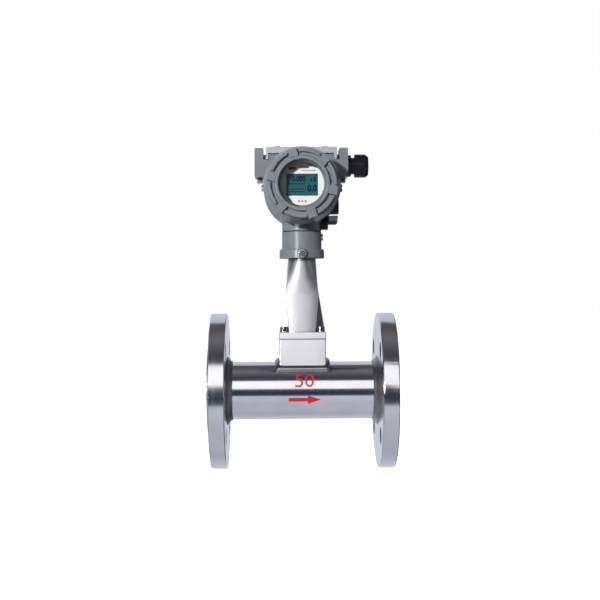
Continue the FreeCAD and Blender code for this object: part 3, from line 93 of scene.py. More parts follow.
# The room that shiny surfaces show: colours by degrees up from straight ahead of the display,
# over the top and down behind, and shades by degrees to its right.
ROOM_RISE = (
    (-180.0, (0.68, 0.70, 0.79)),
    (-125.0, (0.62, 0.63, 0.72)),
    (-105.0, (0.50, 0.51, 0.59)),
    (-80.0, (0.56, 0.565, 0.65)),
    (-45.0, (0.58, 0.585, 0.68)),
    (-19.0, (0.70, 0.705, 0.80)),
    (-16.5, (0.060, 0.075, 0.11)),
    (-8.0, (0.025, 0.036, 0.06)),
    (3.0, (0.050, 0.062, 0.09)),
    (9.0, (0.13, 0.14, 0.17)),
    (11.0, (1.3, 1.3, 1.32)),
    (41.0, (1.3, 1.3, 1.32)),
    (43.5, (0.060, 0.060, 0.075)),
    (58.0, (0.060, 0.060, 0.075)),
    (84.0, (0.18, 0.175, 0.19)),
    (105.0, (0.11, 0.105, 0.11)),
    (121.0, (0.09, 0.09, 0.10)),
    (126.0, (0.64, 0.67, 0.77)),
    (180.0, (0.68, 0.70, 0.79)),
)
ROOM_BEARING = (
    (-90.0, (0.5, 0.5, 0.52)),
    (-72.0, (0.25, 0.25, 0.27)),
    (-60.0, (0.9, 0.9, 0.9)),
    (-46.0, (0.35, 0.35, 0.37)),
    (-36.0, (0.35, 0.35, 0.37)),
    (-28.0, (1.0, 1.0, 1.0)),
    (12.0, (1.0, 1.0, 1.0)),
    (22.0, (0.14, 0.14, 0.16)),
    (44.0, (0.14, 0.14, 0.16)),
    (60.0, (0.55, 0.55, 0.58)),
    (90.0, (0.75, 0.75, 0.78)),
)

# The lug beside the neck, made pale as painted light where light from behind falls on it: its low and high
# corners, then the pale painted colour.
LUG_LOW = (130 * MM, -100 * MM, 182.3 * MM)
LUG_HIGH = (142 * MM, 100 * MM, 193.6 * MM)
LUG_PAINTED_LIGHT = (0.74, 0.76, 0.84)

# Each lamp's name, place from the meter's middle in metres, side in metres and power in watts, and
# whether it only shows in shiny surfaces. The others light dull surfaces and show in none.
LAMPS = (
    ("key", (-0.82, -1.5, 0.52), 0.12, 46.0, False),
    ("spark", (-0.82, -1.5, 0.52), 0.12, 3.5, True),
    ("strip", (-0.85, -1.5, 0.10), 0.25, 8.0, True),
    ("left", (-1.5, -0.5, 0.5), 0.7, 3.0, False),
    ("front", (0.3, -1.5, -0.5), 0.9, 4.0, False),
    ("top", (-0.2, 0.1, 1.5), 0.7, 6.0, False),
    ("rear", (0.5, 1.4, 0.6), 0.9, 10.0, False),
)


class Grain(Enum):
    """How the fine machining lines run on a metal."""

    TURNED = "turned"
    UPRIGHT = "upright"
    NONE = "none"


def compute(tree: Tree, kind: str, operation: str, *parts: object) -> Node:
    """Adds a sum to a node tree.

    Args:
        tree: the node tree.
        kind: the node's type name, MATH or VECTOR.
        operation: what it does.
        parts: what it is fed with, in order: outputs of other nodes, or plain values.

    Returns:
        The new node.
    """
    node = tree.nodes.new(kind)
    node.operation = operation
    for entry, part in zip(node.inputs, parts):
        if isinstance(part, bpy.types.NodeSocket):
            tree.links.new(part, entry)
        else:
            entry.default_value = part
    return node


def only(piece: Piece) -> None:
    """Selects one piece and makes it active."""
    bpy.ops.object.select_all(action="DESELECT")
    piece.select_set(True)
    bpy.context.view_layer.objects.active = piece


@dataclass
class Nodes:
    """A material's node tree, built link by link.

    Args:
        material: the material whose nodes are made.
    """

    material: Finish

    def __post_init__(self) -> None:
        """Clears the tree and adds the output and the main shader."""
        self.material.use_nodes = True
        self.tree = self.material.node_tree
        self.tree.nodes.clear()
        self.output = self.add("ShaderNodeOutputMaterial")
        self.shader = self.add("ShaderNodeBsdfPrincipled")
        self.join(self.shader, "BSDF", self.output, "Surface")
        self.place = self.add("ShaderNodeTexCoord")

    def add(self, kind: str, **values: object) -> Node:
        """Adds a node and sets its properties.

        Args:
            kind: the node's type name.
            values: properties by name.

        Returns:
            The new node.
        """
        node = self.tree.nodes.new(kind)
        for name, value in values.items():
            setattr(node, name, value)
        return node

    def join(self, source: Node, output: str | int, target: Node, entry: str | int) -> None:
        """Links an output to an input."""
        self.tree.links.new(source.outputs[output], target.inputs[entry])

    def stretched(self, scale: Triple) -> Node:
        """Returns a mapping of Object coordinates, scaled along each axis."""
        mapping = self.add("ShaderNodeMapping")
        mapping.inputs["Scale"].default_value = scale
        self.join(self.place, "Object", mapping, "Vector")
        return mapping

    def noise(self, source: Node, scale: float, detail: float = 4.0) -> Node:
        """Returns a noise texture fed from a vector node."""
        texture = self.add("ShaderNodeTexNoise")
        texture.inputs["Scale"].default_value = scale
        texture.inputs["Detail"].default_value = detail
        self.join(source, 0, texture, "Vector")
        return texture

    def spread(
        self, source: Node, low: float, high: float, start: float = RAMP_START, end: float = RAMP_END
    ) -> Node:
        """Returns a node that spreads a texture's value over a new range.

        Args:
            source: the texture.
            low: what it gives where the texture is at start.
            high: what it gives where the texture is at end.
            start: the texture's low value.
            end: the texture's high value.
        """
        span = self.add("ShaderNodeMapRange")
        for name, value in (("From Min", start), ("From Max", end), ("To Min", low), ("To Max", high)):
            span.inputs[name].default_value = value
        self.join(source, 0, span, "Value")
        return span

    def tint(self, source: Node, dark: tuple[float, ...], light: tuple[float, ...]) -> Node:
        """Returns a colour ramp between two colours, over the middle of a texture's range."""
        ramp = self.add("ShaderNodeValToRGB")
        first, last = ramp.color_ramp.elements
        first.position, last.position = RAMP_START, RAMP_END
        first.color, last.color = (*dark, 1.0), (*light, 1.0)
        self.join(source, 0, ramp, "Fac")
        return ramp

    def bump(self, source: Node, strength: float, depth: float, under: Node | None = None) -> Node:
        """Adds relief from a texture, over an earlier relief where one is given."""
        relief = self.add("ShaderNodeBump")
        relief.inputs["Strength"].default_value = strength
        relief.inputs["Distance"].default_value = depth
        self.join(source, 0, relief, "Height")
        if under is not None:
            self.join(under, 0, relief, "Normal")
        self.join(relief, "Normal", self.shader, "Normal")
        return relief

    def inside(self, low: Triple, high: Triple) -> Node:
        """Returns a node that is one inside a box, given in metres, and nought outside."""
        # How far past the box each axis lies: a point is inside where all three are below nought.
        middle = [(a + b) / 2 for a, b in zip(low, high)]
        half = [(b - a) / 2 for a, b in zip(low, high)]
        offset = compute(self.tree, VECTOR, "SUBTRACT", self.place.outputs["Object"], middle)
        far = compute(self.tree, VECTOR, "ABSOLUTE", offset.outputs[0])
        past = compute(self.tree, VECTOR, "SUBTRACT", far.outputs[0], half)
        parts = self.add("ShaderNodeSeparateXYZ")
        self.join(past, 0, parts, 0)
        pair = compute(self.tree, MATH, "MAXIMUM", parts.outputs["X"], parts.outputs["Y"])
        most = compute(self.tree, MATH, "MAXIMUM", pair.outputs[0], parts.outputs["Z"])
        return compute(self.tree, MATH, "LESS_THAN", most.outputs[0], 0.0)

    def domed(self, dome: float, lean: float) -> Node:
        """Returns normals that spread out along X and lean up, as a hand-ground face's do.

        Args:
            dome: how fast the normal turns along X, in radians per metre.
            lean: how far it leans up, in radians.
        """
        parts = self.add("ShaderNodeSeparateXYZ")
        self.join(self.place, "Object", parts, "Vector")
        offset = compute(self.tree, MATH, "SUBTRACT", parts.outputs["X"], STEM_PLACE)
        turn = compute(self.tree, MATH, "MULTIPLY", offset.outputs[0], dome)
        shift = self.add("ShaderNodeCombineXYZ")
        shift.inputs["Z"].default_value = lean
        self.join(turn, 0, shift, "X")
        surface = self.add("ShaderNodeNewGeometry")
        total = compute(self.tree, VECTOR, "ADD", surface.outputs["Normal"], shift.outputs[0])
        return compute(self.tree, VECTOR, "NORMALIZE", total.outputs[0])


@dataclass(frozen=True)
class Metal:
    """An uncoated metal with machining lines and slight stains.

    Args:
        name: the material's name.
        dark: its colour where it is darkest.
        light: its colour where it is lightest.
        smooth: its roughness where it is smoothest.
        rough: its roughness where it is roughest.
        grain: how its machining lines run.
        line_scale: how many lines there are in a metre.
        line_depth: how deep the lines are, in metres.
        line_relief: how strongly the lines show.
        dome: how fast its normals turn along X, in radians per metre.
        lean: how far its normals lean up, in radians.
    """

    name: str
    dark: Triple = (0.68, 0.68, 0.70)
    light: Triple = (0.75, 0.75, 0.77)
    smooth: float = 0.10
    rough: float = 0.20
    grain: Grain = Grain.TURNED
    line_scale: float = 900.0
    line_depth: float = 0.00001
    line_relief: float = 0.05
    line_detail: float = 3.0
    line_stretch: float = 0.012
    cloud_scale: float = 38.0
    cloud_detail: float = 5.0
    wave_scale: float = 45.0
    wave_detail: float = 2.0
    wave_relief: float = 0.06
    wave_depth: float = 0.0001
    dome: float = 0.0
    lean: float = 0.0

    def make(self) -> Finish:
        """Returns the material."""
        nodes = Nodes(bpy.data.materials.new(self.name))
        shader = nodes.shader
        shader.inputs["Metallic"].default_value = 1.0
        clouds = nodes.noise(nodes.stretched(EVEN), self.cloud_scale, self.cloud_detail)
        nodes.join(nodes.tint(clouds, self.dark, self.light), "Color", shader, "Base Color")
        lines = self.lines(nodes)
        rough = nodes.spread(lines if lines else clouds, self.smooth, self.rough)
        nodes.join(rough, "Result", shader, "Roughness")
        ground = nodes.domed(self.dome, self.lean) if self.dome or self.lean else None
        wave = nodes.noise(nodes.stretched(EVEN), self.wave_scale, self.wave_detail)
        under = nodes.bump(wave, self.wave_relief, self.wave_depth, ground)
        if lines:
            nodes.bump(lines, self.line_relief, self.line_depth, under)
        return nodes.material

    def lines(self, nodes: Nodes) -> Node | None:
        """Returns the texture of the machining lines, or nothing."""
        if self.grain is Grain.NONE:
            return None
        if self.grain is Grain.UPRIGHT:
            upright = nodes.stretched((1.0, 1.0, self.line_stretch))
            return nodes.noise(upright, self.line_scale, self.line_detail)
        parts = nodes.add("ShaderNodeSeparateXYZ")
        nodes.join(nodes.place, "Object", parts, "Vector")
        across = nodes.add("ShaderNodeCombineXYZ")
        nodes.join(parts, "Y", across, "X")
        nodes.join(parts, "Z", across, "Y")
        radius = compute(nodes.tree, VECTOR, "LENGTH", across.outputs[0])
        turned = nodes.add("ShaderNodeCombineXYZ")
        nodes.join(parts, "X", turned, "X")
        nodes.join(radius, "Value", turned, "Y")
        return nodes.noise(turned, self.line_scale, self.line_detail)


@dataclass(frozen=True)
class Coat:
    """A paint, plastic or rubber with a fine surface relief.

    Args:
        name: the material's name.
        dark: its colour where it is darkest.
        light: its colour where it is lightest.
        smooth: its roughness where it is smoothest.
        rough: its roughness where it is roughest.
        gloss_coat: how much clear lacquer lies over it.
        lug_light: the pale colour painted on the lug beside the neck as painted light from behind, if there
            is one.
    """

    name: str
    dark: Triple
    light: Triple
    smooth: float = 0.35
    rough: float = 0.5
    patch_scale: float = 55.0
    patch_detail: float = 6.0
    pebble_scale: float = 900.0
    pebble_detail: float = 2.0
    pebble_depth: float = 0.00006
    pebble_strength: float = 0.35
    wave_scale: float = 120.0
    wave_detail: float = 3.0
    wave_depth: float = 0.00012
    wave_strength: float = 0.25
    gloss_coat: float = 0.0
    gloss_roughness: float = 0.12
    metallic: float = 0.0
    specular: float = 0.5
    lug_light: Triple | None = None

    def make(self) -> Finish:
        """Returns the material."""
        nodes = Nodes(bpy.data.materials.new(self.name))
        shader = nodes.shader
        shader.inputs["Metallic"].default_value = self.metallic
        shader.inputs["Specular IOR Level"].default_value = self.specular
        shader.inputs["Coat Weight"].default_value = self.gloss_coat
        shader.inputs["Coat Roughness"].default_value = self.gloss_roughness
        even = nodes.stretched(EVEN)
        patches = nodes.noise(even, self.patch_scale, self.patch_detail)
        colour = nodes.tint(patches, self.dark, self.light)
        nodes.join(colour, "Color", shader, "Base Color")
        if self.lug_light is not None:
            self.paint_lug_light(nodes, colour)
        nodes.join(nodes.spread(patches, self.smooth, self.rough), "Result", shader, "Roughness")
        wave = nodes.noise(even, self.wave_scale, self.wave_detail)
        under = nodes.bump(wave, self.wave_strength, self.wave_depth)
        pebble = nodes.noise(even, self.pebble_scale, self.pebble_detail)
        nodes.bump(pebble, self.pebble_strength, self.pebble_depth, under)
        return nodes.material

    def paint_lug_light(self, nodes: Nodes, colour: Node) -> None:
        """Paints the lug pale instead of the paint's colour: painted light from behind."""
        # Painted light: inside the lug's box the colour turns pale, standing for light from behind.
        mix = nodes.add("ShaderNodeMix", data_type="RGBA")
        nodes.join(nodes.inside(LUG_LOW, LUG_HIGH), 0, mix, "Factor")
        nodes.join(colour, "Color", mix, MIX_FIRST)
        mix.inputs[MIX_SECOND].default_value = (*self.lug_light, 1.0)
        nodes.join(mix, MIX_RESULT, nodes.shader, "Base Color")


@dataclass(frozen=True)
class ClearGlass:
    """Toughened window glass with an anti-glare finish.

    Args:
        name: the material's name.
        colour: the tint of what little it covers.
        clear: how much it covers when seen straight on.
        edge: how much it covers when seen at a slant.
    """

    name: str = "window_glass"
    colour: Triple = (0.02, 0.03, 0.03)
    clear: float = 0.05
    edge: float = 0.75
    mirror_straight: float = 0.04
    mirror_slant: float = 0.8
    roughness: float = 0.03
    refraction: float = 1.5

    def make(self) -> Finish:
        """Returns the material: clear seen straight on, and more of a mirror at a slant."""
        nodes = Nodes(bpy.data.materials.new(self.name))
        nodes.shader.inputs["Base Color"].default_value = (*self.colour, 1.0)
        nodes.shader.inputs["Roughness"].default_value = self.roughness
        nodes.shader.inputs["IOR"].default_value = self.refraction
        slant = nodes.add("ShaderNodeFresnel")
        slant.inputs["IOR"].default_value = self.refraction
        cover = nodes.spread(slant, self.clear, self.edge, self.mirror_straight, self.mirror_slant)
        nodes.join(cover, "Result", nodes.shader, "Alpha")
        return nodes.material


@dataclass(frozen=True)
class CrystalPanel:
    """A backlit liquid-crystal panel: teal, with a faint pixel grid.

    Args:
        name: the material's name.
        dark: the colour of the gaps between pixels.
        light: the colour of a pixel.
        pixel: the width of a pixel with its gap, in metres.
        gap: the gap's share of that width.
        glow: how strongly the panel shines.
    """

    name: str = "lcd_teal"
    dark: Triple = (0.011, 0.064, 0.074)
    light: Triple = (0.017, 0.087, 0.099)
    pixel: float = 0.00042
    gap: float = 0.08
    glow: float = 0.15
    roughness: float = 0.5
    specular: float = 0.15

    def make(self) -> Finish:
        """Returns the material."""
        nodes = Nodes(bpy.data.materials.new(self.name))
        grid = nodes.add("ShaderNodeTexBrick", offset=0.0)
        for entry, value in (("Scale", 1.0), ("Brick Width", self.pixel), ("Row Height", self.pixel)):
            grid.inputs[entry].default_value = value
        grid.inputs["Mortar Size"].default_value = self.pixel * self.gap
        grid.inputs["Color1"].default_value = (*self.light, 1.0)
        grid.inputs["Color2"].default_value = (*self.light, 1.0)
        grid.inputs["Mortar"].default_value = (*self.dark, 1.0)
        flat = nodes.add("ShaderNodeMapping")
        flat.inputs["Rotation"].default_value = (math.pi / 2, 0.0, 0.0)
        nodes.join(nodes.place, "Object", flat, "Vector")
        nodes.join(flat, "Vector", grid, "Vector")
        nodes.join(grid, "Color", nodes.shader, "Base Color")
        nodes.shader.inputs["Roughness"].default_value = self.roughness
        nodes.shader.inputs["Specular IOR Level"].default_value = self.specular
        nodes.join(grid, "Color", nodes.shader, "Emission Color")
        nodes.shader.inputs["Emission Strength"].default_value = self.glow
        return nodes.material


@dataclass
class Bench:
    """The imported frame, and the ways to dress its nodes and add pieces.

    Args:
        frame: what the frame's load call returned.
    """

    frame: dict
    bodies: dict[str, str] = field(default_factory=dict)
    merge_gap: float = 0.002 * MM
    flat_angle: float = 0.6
    edge_segments: int = 2
    smooth_share: float = 0.8
    face_weight: int = 50

    def __post_init__(self) -> None:
        """Notes which body carries each node."""
        for body, nodes in self.frame["record"]["behaviour"]["bodies"].items():
            for node in nodes:
                self.bodies[node] = body

    def keep(self, node: str, finish: Finish) -> None:
        """Gives a node of the frame its finish."""
        for entry in self.frame["nodes"][node].material_slots:
            entry.material = finish

    def copy(self, node: str, name: str) -> Piece:
        """Returns a copy of a node's mesh as a new piece with its points merged."""
        piece = bpy.data.objects.new(name, self.frame["nodes"][node].data.copy())
        bpy.context.collection.objects.link(piece)
        only(piece)
        bpy.ops.object.mode_set(mode="EDIT")
        bpy.ops.mesh.select_all(action="SELECT")
        bpy.ops.mesh.remove_doubles(threshold=self.merge_gap)
        bpy.ops.object.mode_set(mode="OBJECT")
        return piece

    def remake(self, node: str, finish: Finish, edge: float = 0.3, angle: float = 40.0) -> Piece:
        """Makes a node again with softened edges.

        Args:
            node: the node that the new piece stands for.
            finish: its material.
            edge: width of the softened edges, in millimetres.
            angle: edges sharper than this, in degrees, are softened.

        Returns:
            The new piece.
        """
        piece = self.copy(node, node + "_surface")
        bpy.ops.object.mode_set(mode="EDIT")
        bpy.ops.mesh.select_all(action="SELECT")
        bpy.ops.mesh.dissolve_limited(angle_limit=math.radians(self.flat_angle))
        bpy.ops.object.mode_set(mode="OBJECT")
        bevel = piece.modifiers.new("soft_edges", "BEVEL")
        bevel.width = edge * MM
        bevel.segments = self.edge_segments
        bevel.limit_method = "ANGLE"
        bevel.angle_limit = math.radians(angle)
        bevel.use_clamp_overlap = True
        bevel.harden_normals = True
        bpy.ops.object.modifier_apply(modifier=bevel.name)
        bpy.ops.object.shade_smooth_by_angle(angle=math.radians(angle * self.smooth_share))
        even = piece.modifiers.new("flat_faces", "WEIGHTED_NORMAL")
        even.keep_sharp = True
        even.weight = self.face_weight
        bpy.ops.object.modifier_apply(modifier=even.name)
        return self.finish(piece, finish, self.bodies[node], (node,))

    def finish(self, piece: Piece, finish: Finish, body: str, stands_for: tuple[str, ...] = ()) -> Piece:
        """Gives a piece its material and its body, and hides the nodes that it stands for."""
        piece.data.materials.clear()
        piece.data.materials.append(finish)
        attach(piece, body)
        for node in stands_for:
            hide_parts(node)
        LOG.info("%s rides on %s", piece.name, body)
        return piece

    def settle(self, piece: Piece, name: str) -> Piece:
        """Names a piece and puts its place into its mesh."""
        piece.name = name
        only(piece)
        bpy.ops.object.transform_apply(location=True, rotation=True, scale=True)
        return piece


@dataclass
class Studio:
    """Camera, lamps, floor and the room that metal reflects.

    Args:
        stem_x: the stem's place along the line, in metres.
    """

    stem_x: float
    sensor: float = 36.0
    camera_left: float = 21.9 * MM
    camera_back: float = 1262 * MM
    camera_up: float = 101.7 * MM
    focal_px: float = 1178.0
    photo_px: float = 600.0
    ahead_px: tuple[float, float] = (281.6, 295.3)
    roll: float = -0.3
    soft_light: float = 0.16
    soft_colour: Triple = (0.92, 0.94, 1.0)
    floor_z: float = -82.6 * MM
    floor_size: float = 16.0
    floor_glow: float = 0.9
    floor_roughness: float = 0.9
    floor_specular: float = 0.1
    floor_grain: float = 3.0
    floor_detail: float = 2.0
    floor_dark: Triple = (0.88, 0.88, 0.89)
    floor_light: Triple = (0.90, 0.90, 0.90)

    def build(self) -> None:
        """Makes all of the studio."""
        self.camera()
        self.world()
        self.floor()
        self.lamps()

    def camera(self) -> None:
        """Places the camera and aims it at the middle of the photograph's frame."""
        data = bpy.data.cameras.new("camera")
        data.sensor_width = self.sensor
        data.lens = self.focal_px * self.sensor / self.photo_px
        camera = bpy.data.objects.new("camera", data)
        bpy.context.collection.objects.link(camera)
        camera.location = (self.stem_x - self.camera_left, -self.camera_back, self.camera_up)
        half = self.photo_px / 2
        right = (half - self.ahead_px[0]) / self.focal_px
        down = (half - self.ahead_px[1]) / self.focal_px
        aim = Vector((right, 1.0, -down)).to_track_quat("-Z", "Y")
        camera.rotation_euler = (aim @ Quaternion((0.0, 0.0, 1.0), math.radians(self.roll))).to_euler()
        bpy.context.scene.camera = camera

    def world(self) -> None:
        """White for the camera, soft light, and bands of light and dark that only reflections show."""
        world = bpy.data.worlds.new("studio")
        bpy.context.scene.world = world
        world.use_nodes = True
        tree = world.node_tree
        tree.nodes.clear()
        rays = tree.nodes.new("ShaderNodeLightPath")
        soft = self.backdrop(tree, self.soft_colour, self.soft_light)
        white = self.backdrop(tree, WHITE, 1.0)
        mirrored = self.backdrop(tree, WHITE, 1.0)
        bands, sides = self.bands(tree)
        both = tree.nodes.new("ShaderNodeMix")
        both.data_type = "RGBA"
        both.blend_type = "MULTIPLY"
        both.inputs["Factor"].default_value = 1.0
        tree.links.new(bands.outputs["Color"], both.inputs[MIX_FIRST])
        tree.links.new(sides.outputs["Color"], both.inputs[MIX_SECOND])
        tree.links.new(both.outputs[MIX_RESULT], mirrored.inputs["Color"])
        shiny = self.choose(tree, rays.outputs["Is Glossy Ray"], soft, mirrored)
        seen = self.choose(tree, rays.outputs["Is Camera Ray"], shiny, white)
        output = tree.nodes.new("ShaderNodeOutputWorld")
        tree.links.new(seen.outputs[0], output.inputs["Surface"])

    def choose(self, tree: Tree, ray: bpy.types.NodeSocket, usual: Node, special: Node) -> Node:
        """Returns a shader that is the special one for one kind of ray only."""
        mix = tree.nodes.new("ShaderNodeMixShader")
        for source, entry in zip((ray, usual.outputs[0], special.outputs[0]), mix.inputs):
            tree.links.new(source, entry)
        return mix

    def backdrop(self, tree: Tree, colour: Triple, strength: float) -> Node:
        """Returns a background of one colour."""
        node = tree.nodes.new("ShaderNodeBackground")
        node.inputs["Color"].default_value = (*colour, 1.0)
        node.inputs["Strength"].default_value = strength
        return node

    def bands(self, tree: Tree) -> tuple[Node, Node]:
        """Returns the room's colours by rise over the horizon, and its shade by bearing."""
        place = tree.nodes.new("ShaderNodeTexCoord")
        parts = tree.nodes.new("ShaderNodeSeparateXYZ")
        tree.links.new(place.outputs["Generated"], parts.inputs[0])
        # The display faces down the Y axis, so straight ahead is where Y is lowest.
        front = compute(tree, MATH, "MULTIPLY", parts.outputs["Y"], -1.0)
        rise = compute(tree, MATH, "ARCTAN2", parts.outputs["Z"], front.outputs[0])
        bearing = compute(tree, MATH, "ARCSINE", parts.outputs["X"])
        made = []
        for angle, stops in ((rise, ROOM_RISE), (bearing, ROOM_BEARING)):
            span = tree.nodes.new("ShaderNodeMapRange")
            span.inputs["From Min"].default_value = -math.pi
            span.inputs["From Max"].default_value = math.pi
            tree.links.new(angle.outputs[0], span.inputs["Value"])
            ramp = tree.nodes.new("ShaderNodeValToRGB")
            elements = ramp.color_ramp.elements
            while len(elements) < len(stops):
                elements.new(0.5)
            for element, (degrees, colour) in zip(elements, stops):
                element.position = (degrees + 180) / 360
                element.color = (*colour, 1.0)
            tree.links.new(span.outputs["Result"], ramp.inputs["Fac"])
            made.append(ramp)
        return made[0], made[1]

    def floor(self) -> None:
        """A pale floor just under the flanges, white to the camera but for a soft shadow."""
        middle = (self.stem_x, 0.0, self.floor_z)
        bpy.ops.mesh.primitive_plane_add(size=self.floor_size, location=middle)
        floor = bpy.context.object
        floor.name = "floor"
        nodes = Nodes(bpy.data.materials.new("pale_floor"))
        nodes.shader.inputs["Roughness"].default_value = self.floor_roughness
        nodes.shader.inputs["Specular IOR Level"].default_value = self.floor_specular
        grain = nodes.noise(nodes.stretched(EVEN), self.floor_grain, self.floor_detail)
        colour = nodes.tint(grain, self.floor_dark, self.floor_light)
        nodes.join(colour, "Color", nodes.shader, "Base Color")
        nodes.shader.inputs["Emission Color"].default_value = (*WHITE, 1.0)
        nodes.shader.inputs["Emission Strength"].default_value = self.floor_glow
        floor.data.materials.append(nodes.material)
        floor.visible_glossy = False
        floor.visible_diffuse = False

    def lamps(self) -> None:
        """Adds the square lamps, each of which points at the meter's middle."""
        middle = Vector((self.stem_x, 0.0, self.camera_up))
        for name, place, size, power, mirrored in LAMPS:
            data = bpy.data.lights.new(name, "AREA")
            data.size = size
            data.energy = power
            lamp = bpy.data.objects.new(name, data)
            bpy.context.collection.objects.link(lamp)
            lamp.location = middle + Vector(place)
            lamp.rotation_euler = (middle - lamp.location).to_track_quat("-Z", "Y").to_euler()
            lamp.visible_glossy = mirrored
            lamp.visible_diffuse = not mirrored


class Finishes:
    """Every finish of the meter, made once."""

    def __init__(self) -> None:
        """Makes the materials."""
        self.polished = Metal("polished_steel", smooth=0.10, rough=0.16, line_scale=700.0).make()
        self.turned = Metal(
            "turned_steel", smooth=0.12, rough=0.20, line_scale=500.0, line_relief=0.015
        ).make()
        self.satin = Metal(
            "satin_stem",
            dark=(0.50, 0.50, 0.525),
            light=(0.57, 0.57, 0.595),
            smooth=0.28,
            rough=0.36,
            grain=Grain.UPRIGHT,
            line_scale=700.0,
            dome=13.0,
            lean=0.10,
        ).make()
        self.block = Metal(
            "polished_block", smooth=0.14, rough=0.24, grain=Grain.NONE, dome=3.0, lean=0.132
        ).make()
        bead = (0.29, 0.285, 0.29), (0.44, 0.43, 0.44)
        self.weld = Metal("weld_bead", *bead, 0.24, 0.38, Grain.NONE).make()
        self.fastener = Metal("bright_screw", smooth=0.12, rough=0.25, grain=Grain.NONE).make()
        self.brass = Metal("brass", (0.60, 0.42, 0.16), (0.72, 0.53, 0.22), 0.15, 0.3, Grain.NONE).make()
        grey = (0.126, 0.137, 0.149), (0.150, 0.163, 0.176)
        smooth = {"smooth": 0.28, "rough": 0.36, "gloss_coat": 0.1, "wave_depth": 0.00003}
        self.paint = Coat("grey_paint", *grey, **smooth, pebble_strength=0.22).make()
        # The casting's paint carries painted light: the lug beside the neck is made pale.
        self.casting = Coat("painted_casting", *grey, **smooth, pebble_strength=0.22, lug_light=LUG_PAINTED_LIGHT).make()
        sheet = (0.34, 0.35, 0.38), (0.39, 0.40, 0.44)
        self.pale = Coat("pale_sheet", *sheet, 0.34, 0.44, metallic=0.3).make()
        black = (0.003, 0.003, 0.005), (0.006, 0.006, 0.009)
        self.nylon = Coat("black_nylon", *black, 0.34, 0.46, specular=0.28).make()
        self.rubber = Coat("black_rubber", (0.012, 0.012, 0.012), (0.022, 0.022, 0.022), 0.6, 0.75).make()
        self.gasket = Coat("gasket_sheet", (0.05, 0.05, 0.055), (0.09, 0.09, 0.095), 0.6, 0.8).make()
        white = (0.70, 0.76, 0.73), (0.76, 0.82, 0.79)
        self.plate = Coat("faceplate", *white, 0.4, 0.5, pebble_strength=0.1).make()
        self.bezel = Coat("lcd_bezel", (0.010, 0.014, 0.018), (0.016, 0.020, 0.026), 0.3, 0.4).make()
        self.board = Coat("board_green", (0.010, 0.08, 0.03), (0.016, 0.11, 0.04), 0.3, 0.4).make()
        self.potting = Coat("potting", (0.014, 0.014, 0.016), (0.024, 0.024, 0.027), 0.25, 0.4).make()
        navy = (0.003, 0.007, 0.030), (0.005, 0.010, 0.042)
        self.segment = Coat("lcd_segment", *navy, 0.6, 0.7, pebble_strength=0.02, specular=0.05).make()
        crimson = (0.40, 0.012, 0.025), (0.46, 0.018, 0.035)
        self.red = Coat("red_print", *crimson, 0.3, 0.4, pebble_strength=0.05).make()
        self.glass = ClearGlass().make()
        self.lcd = CrystalPanel().make()


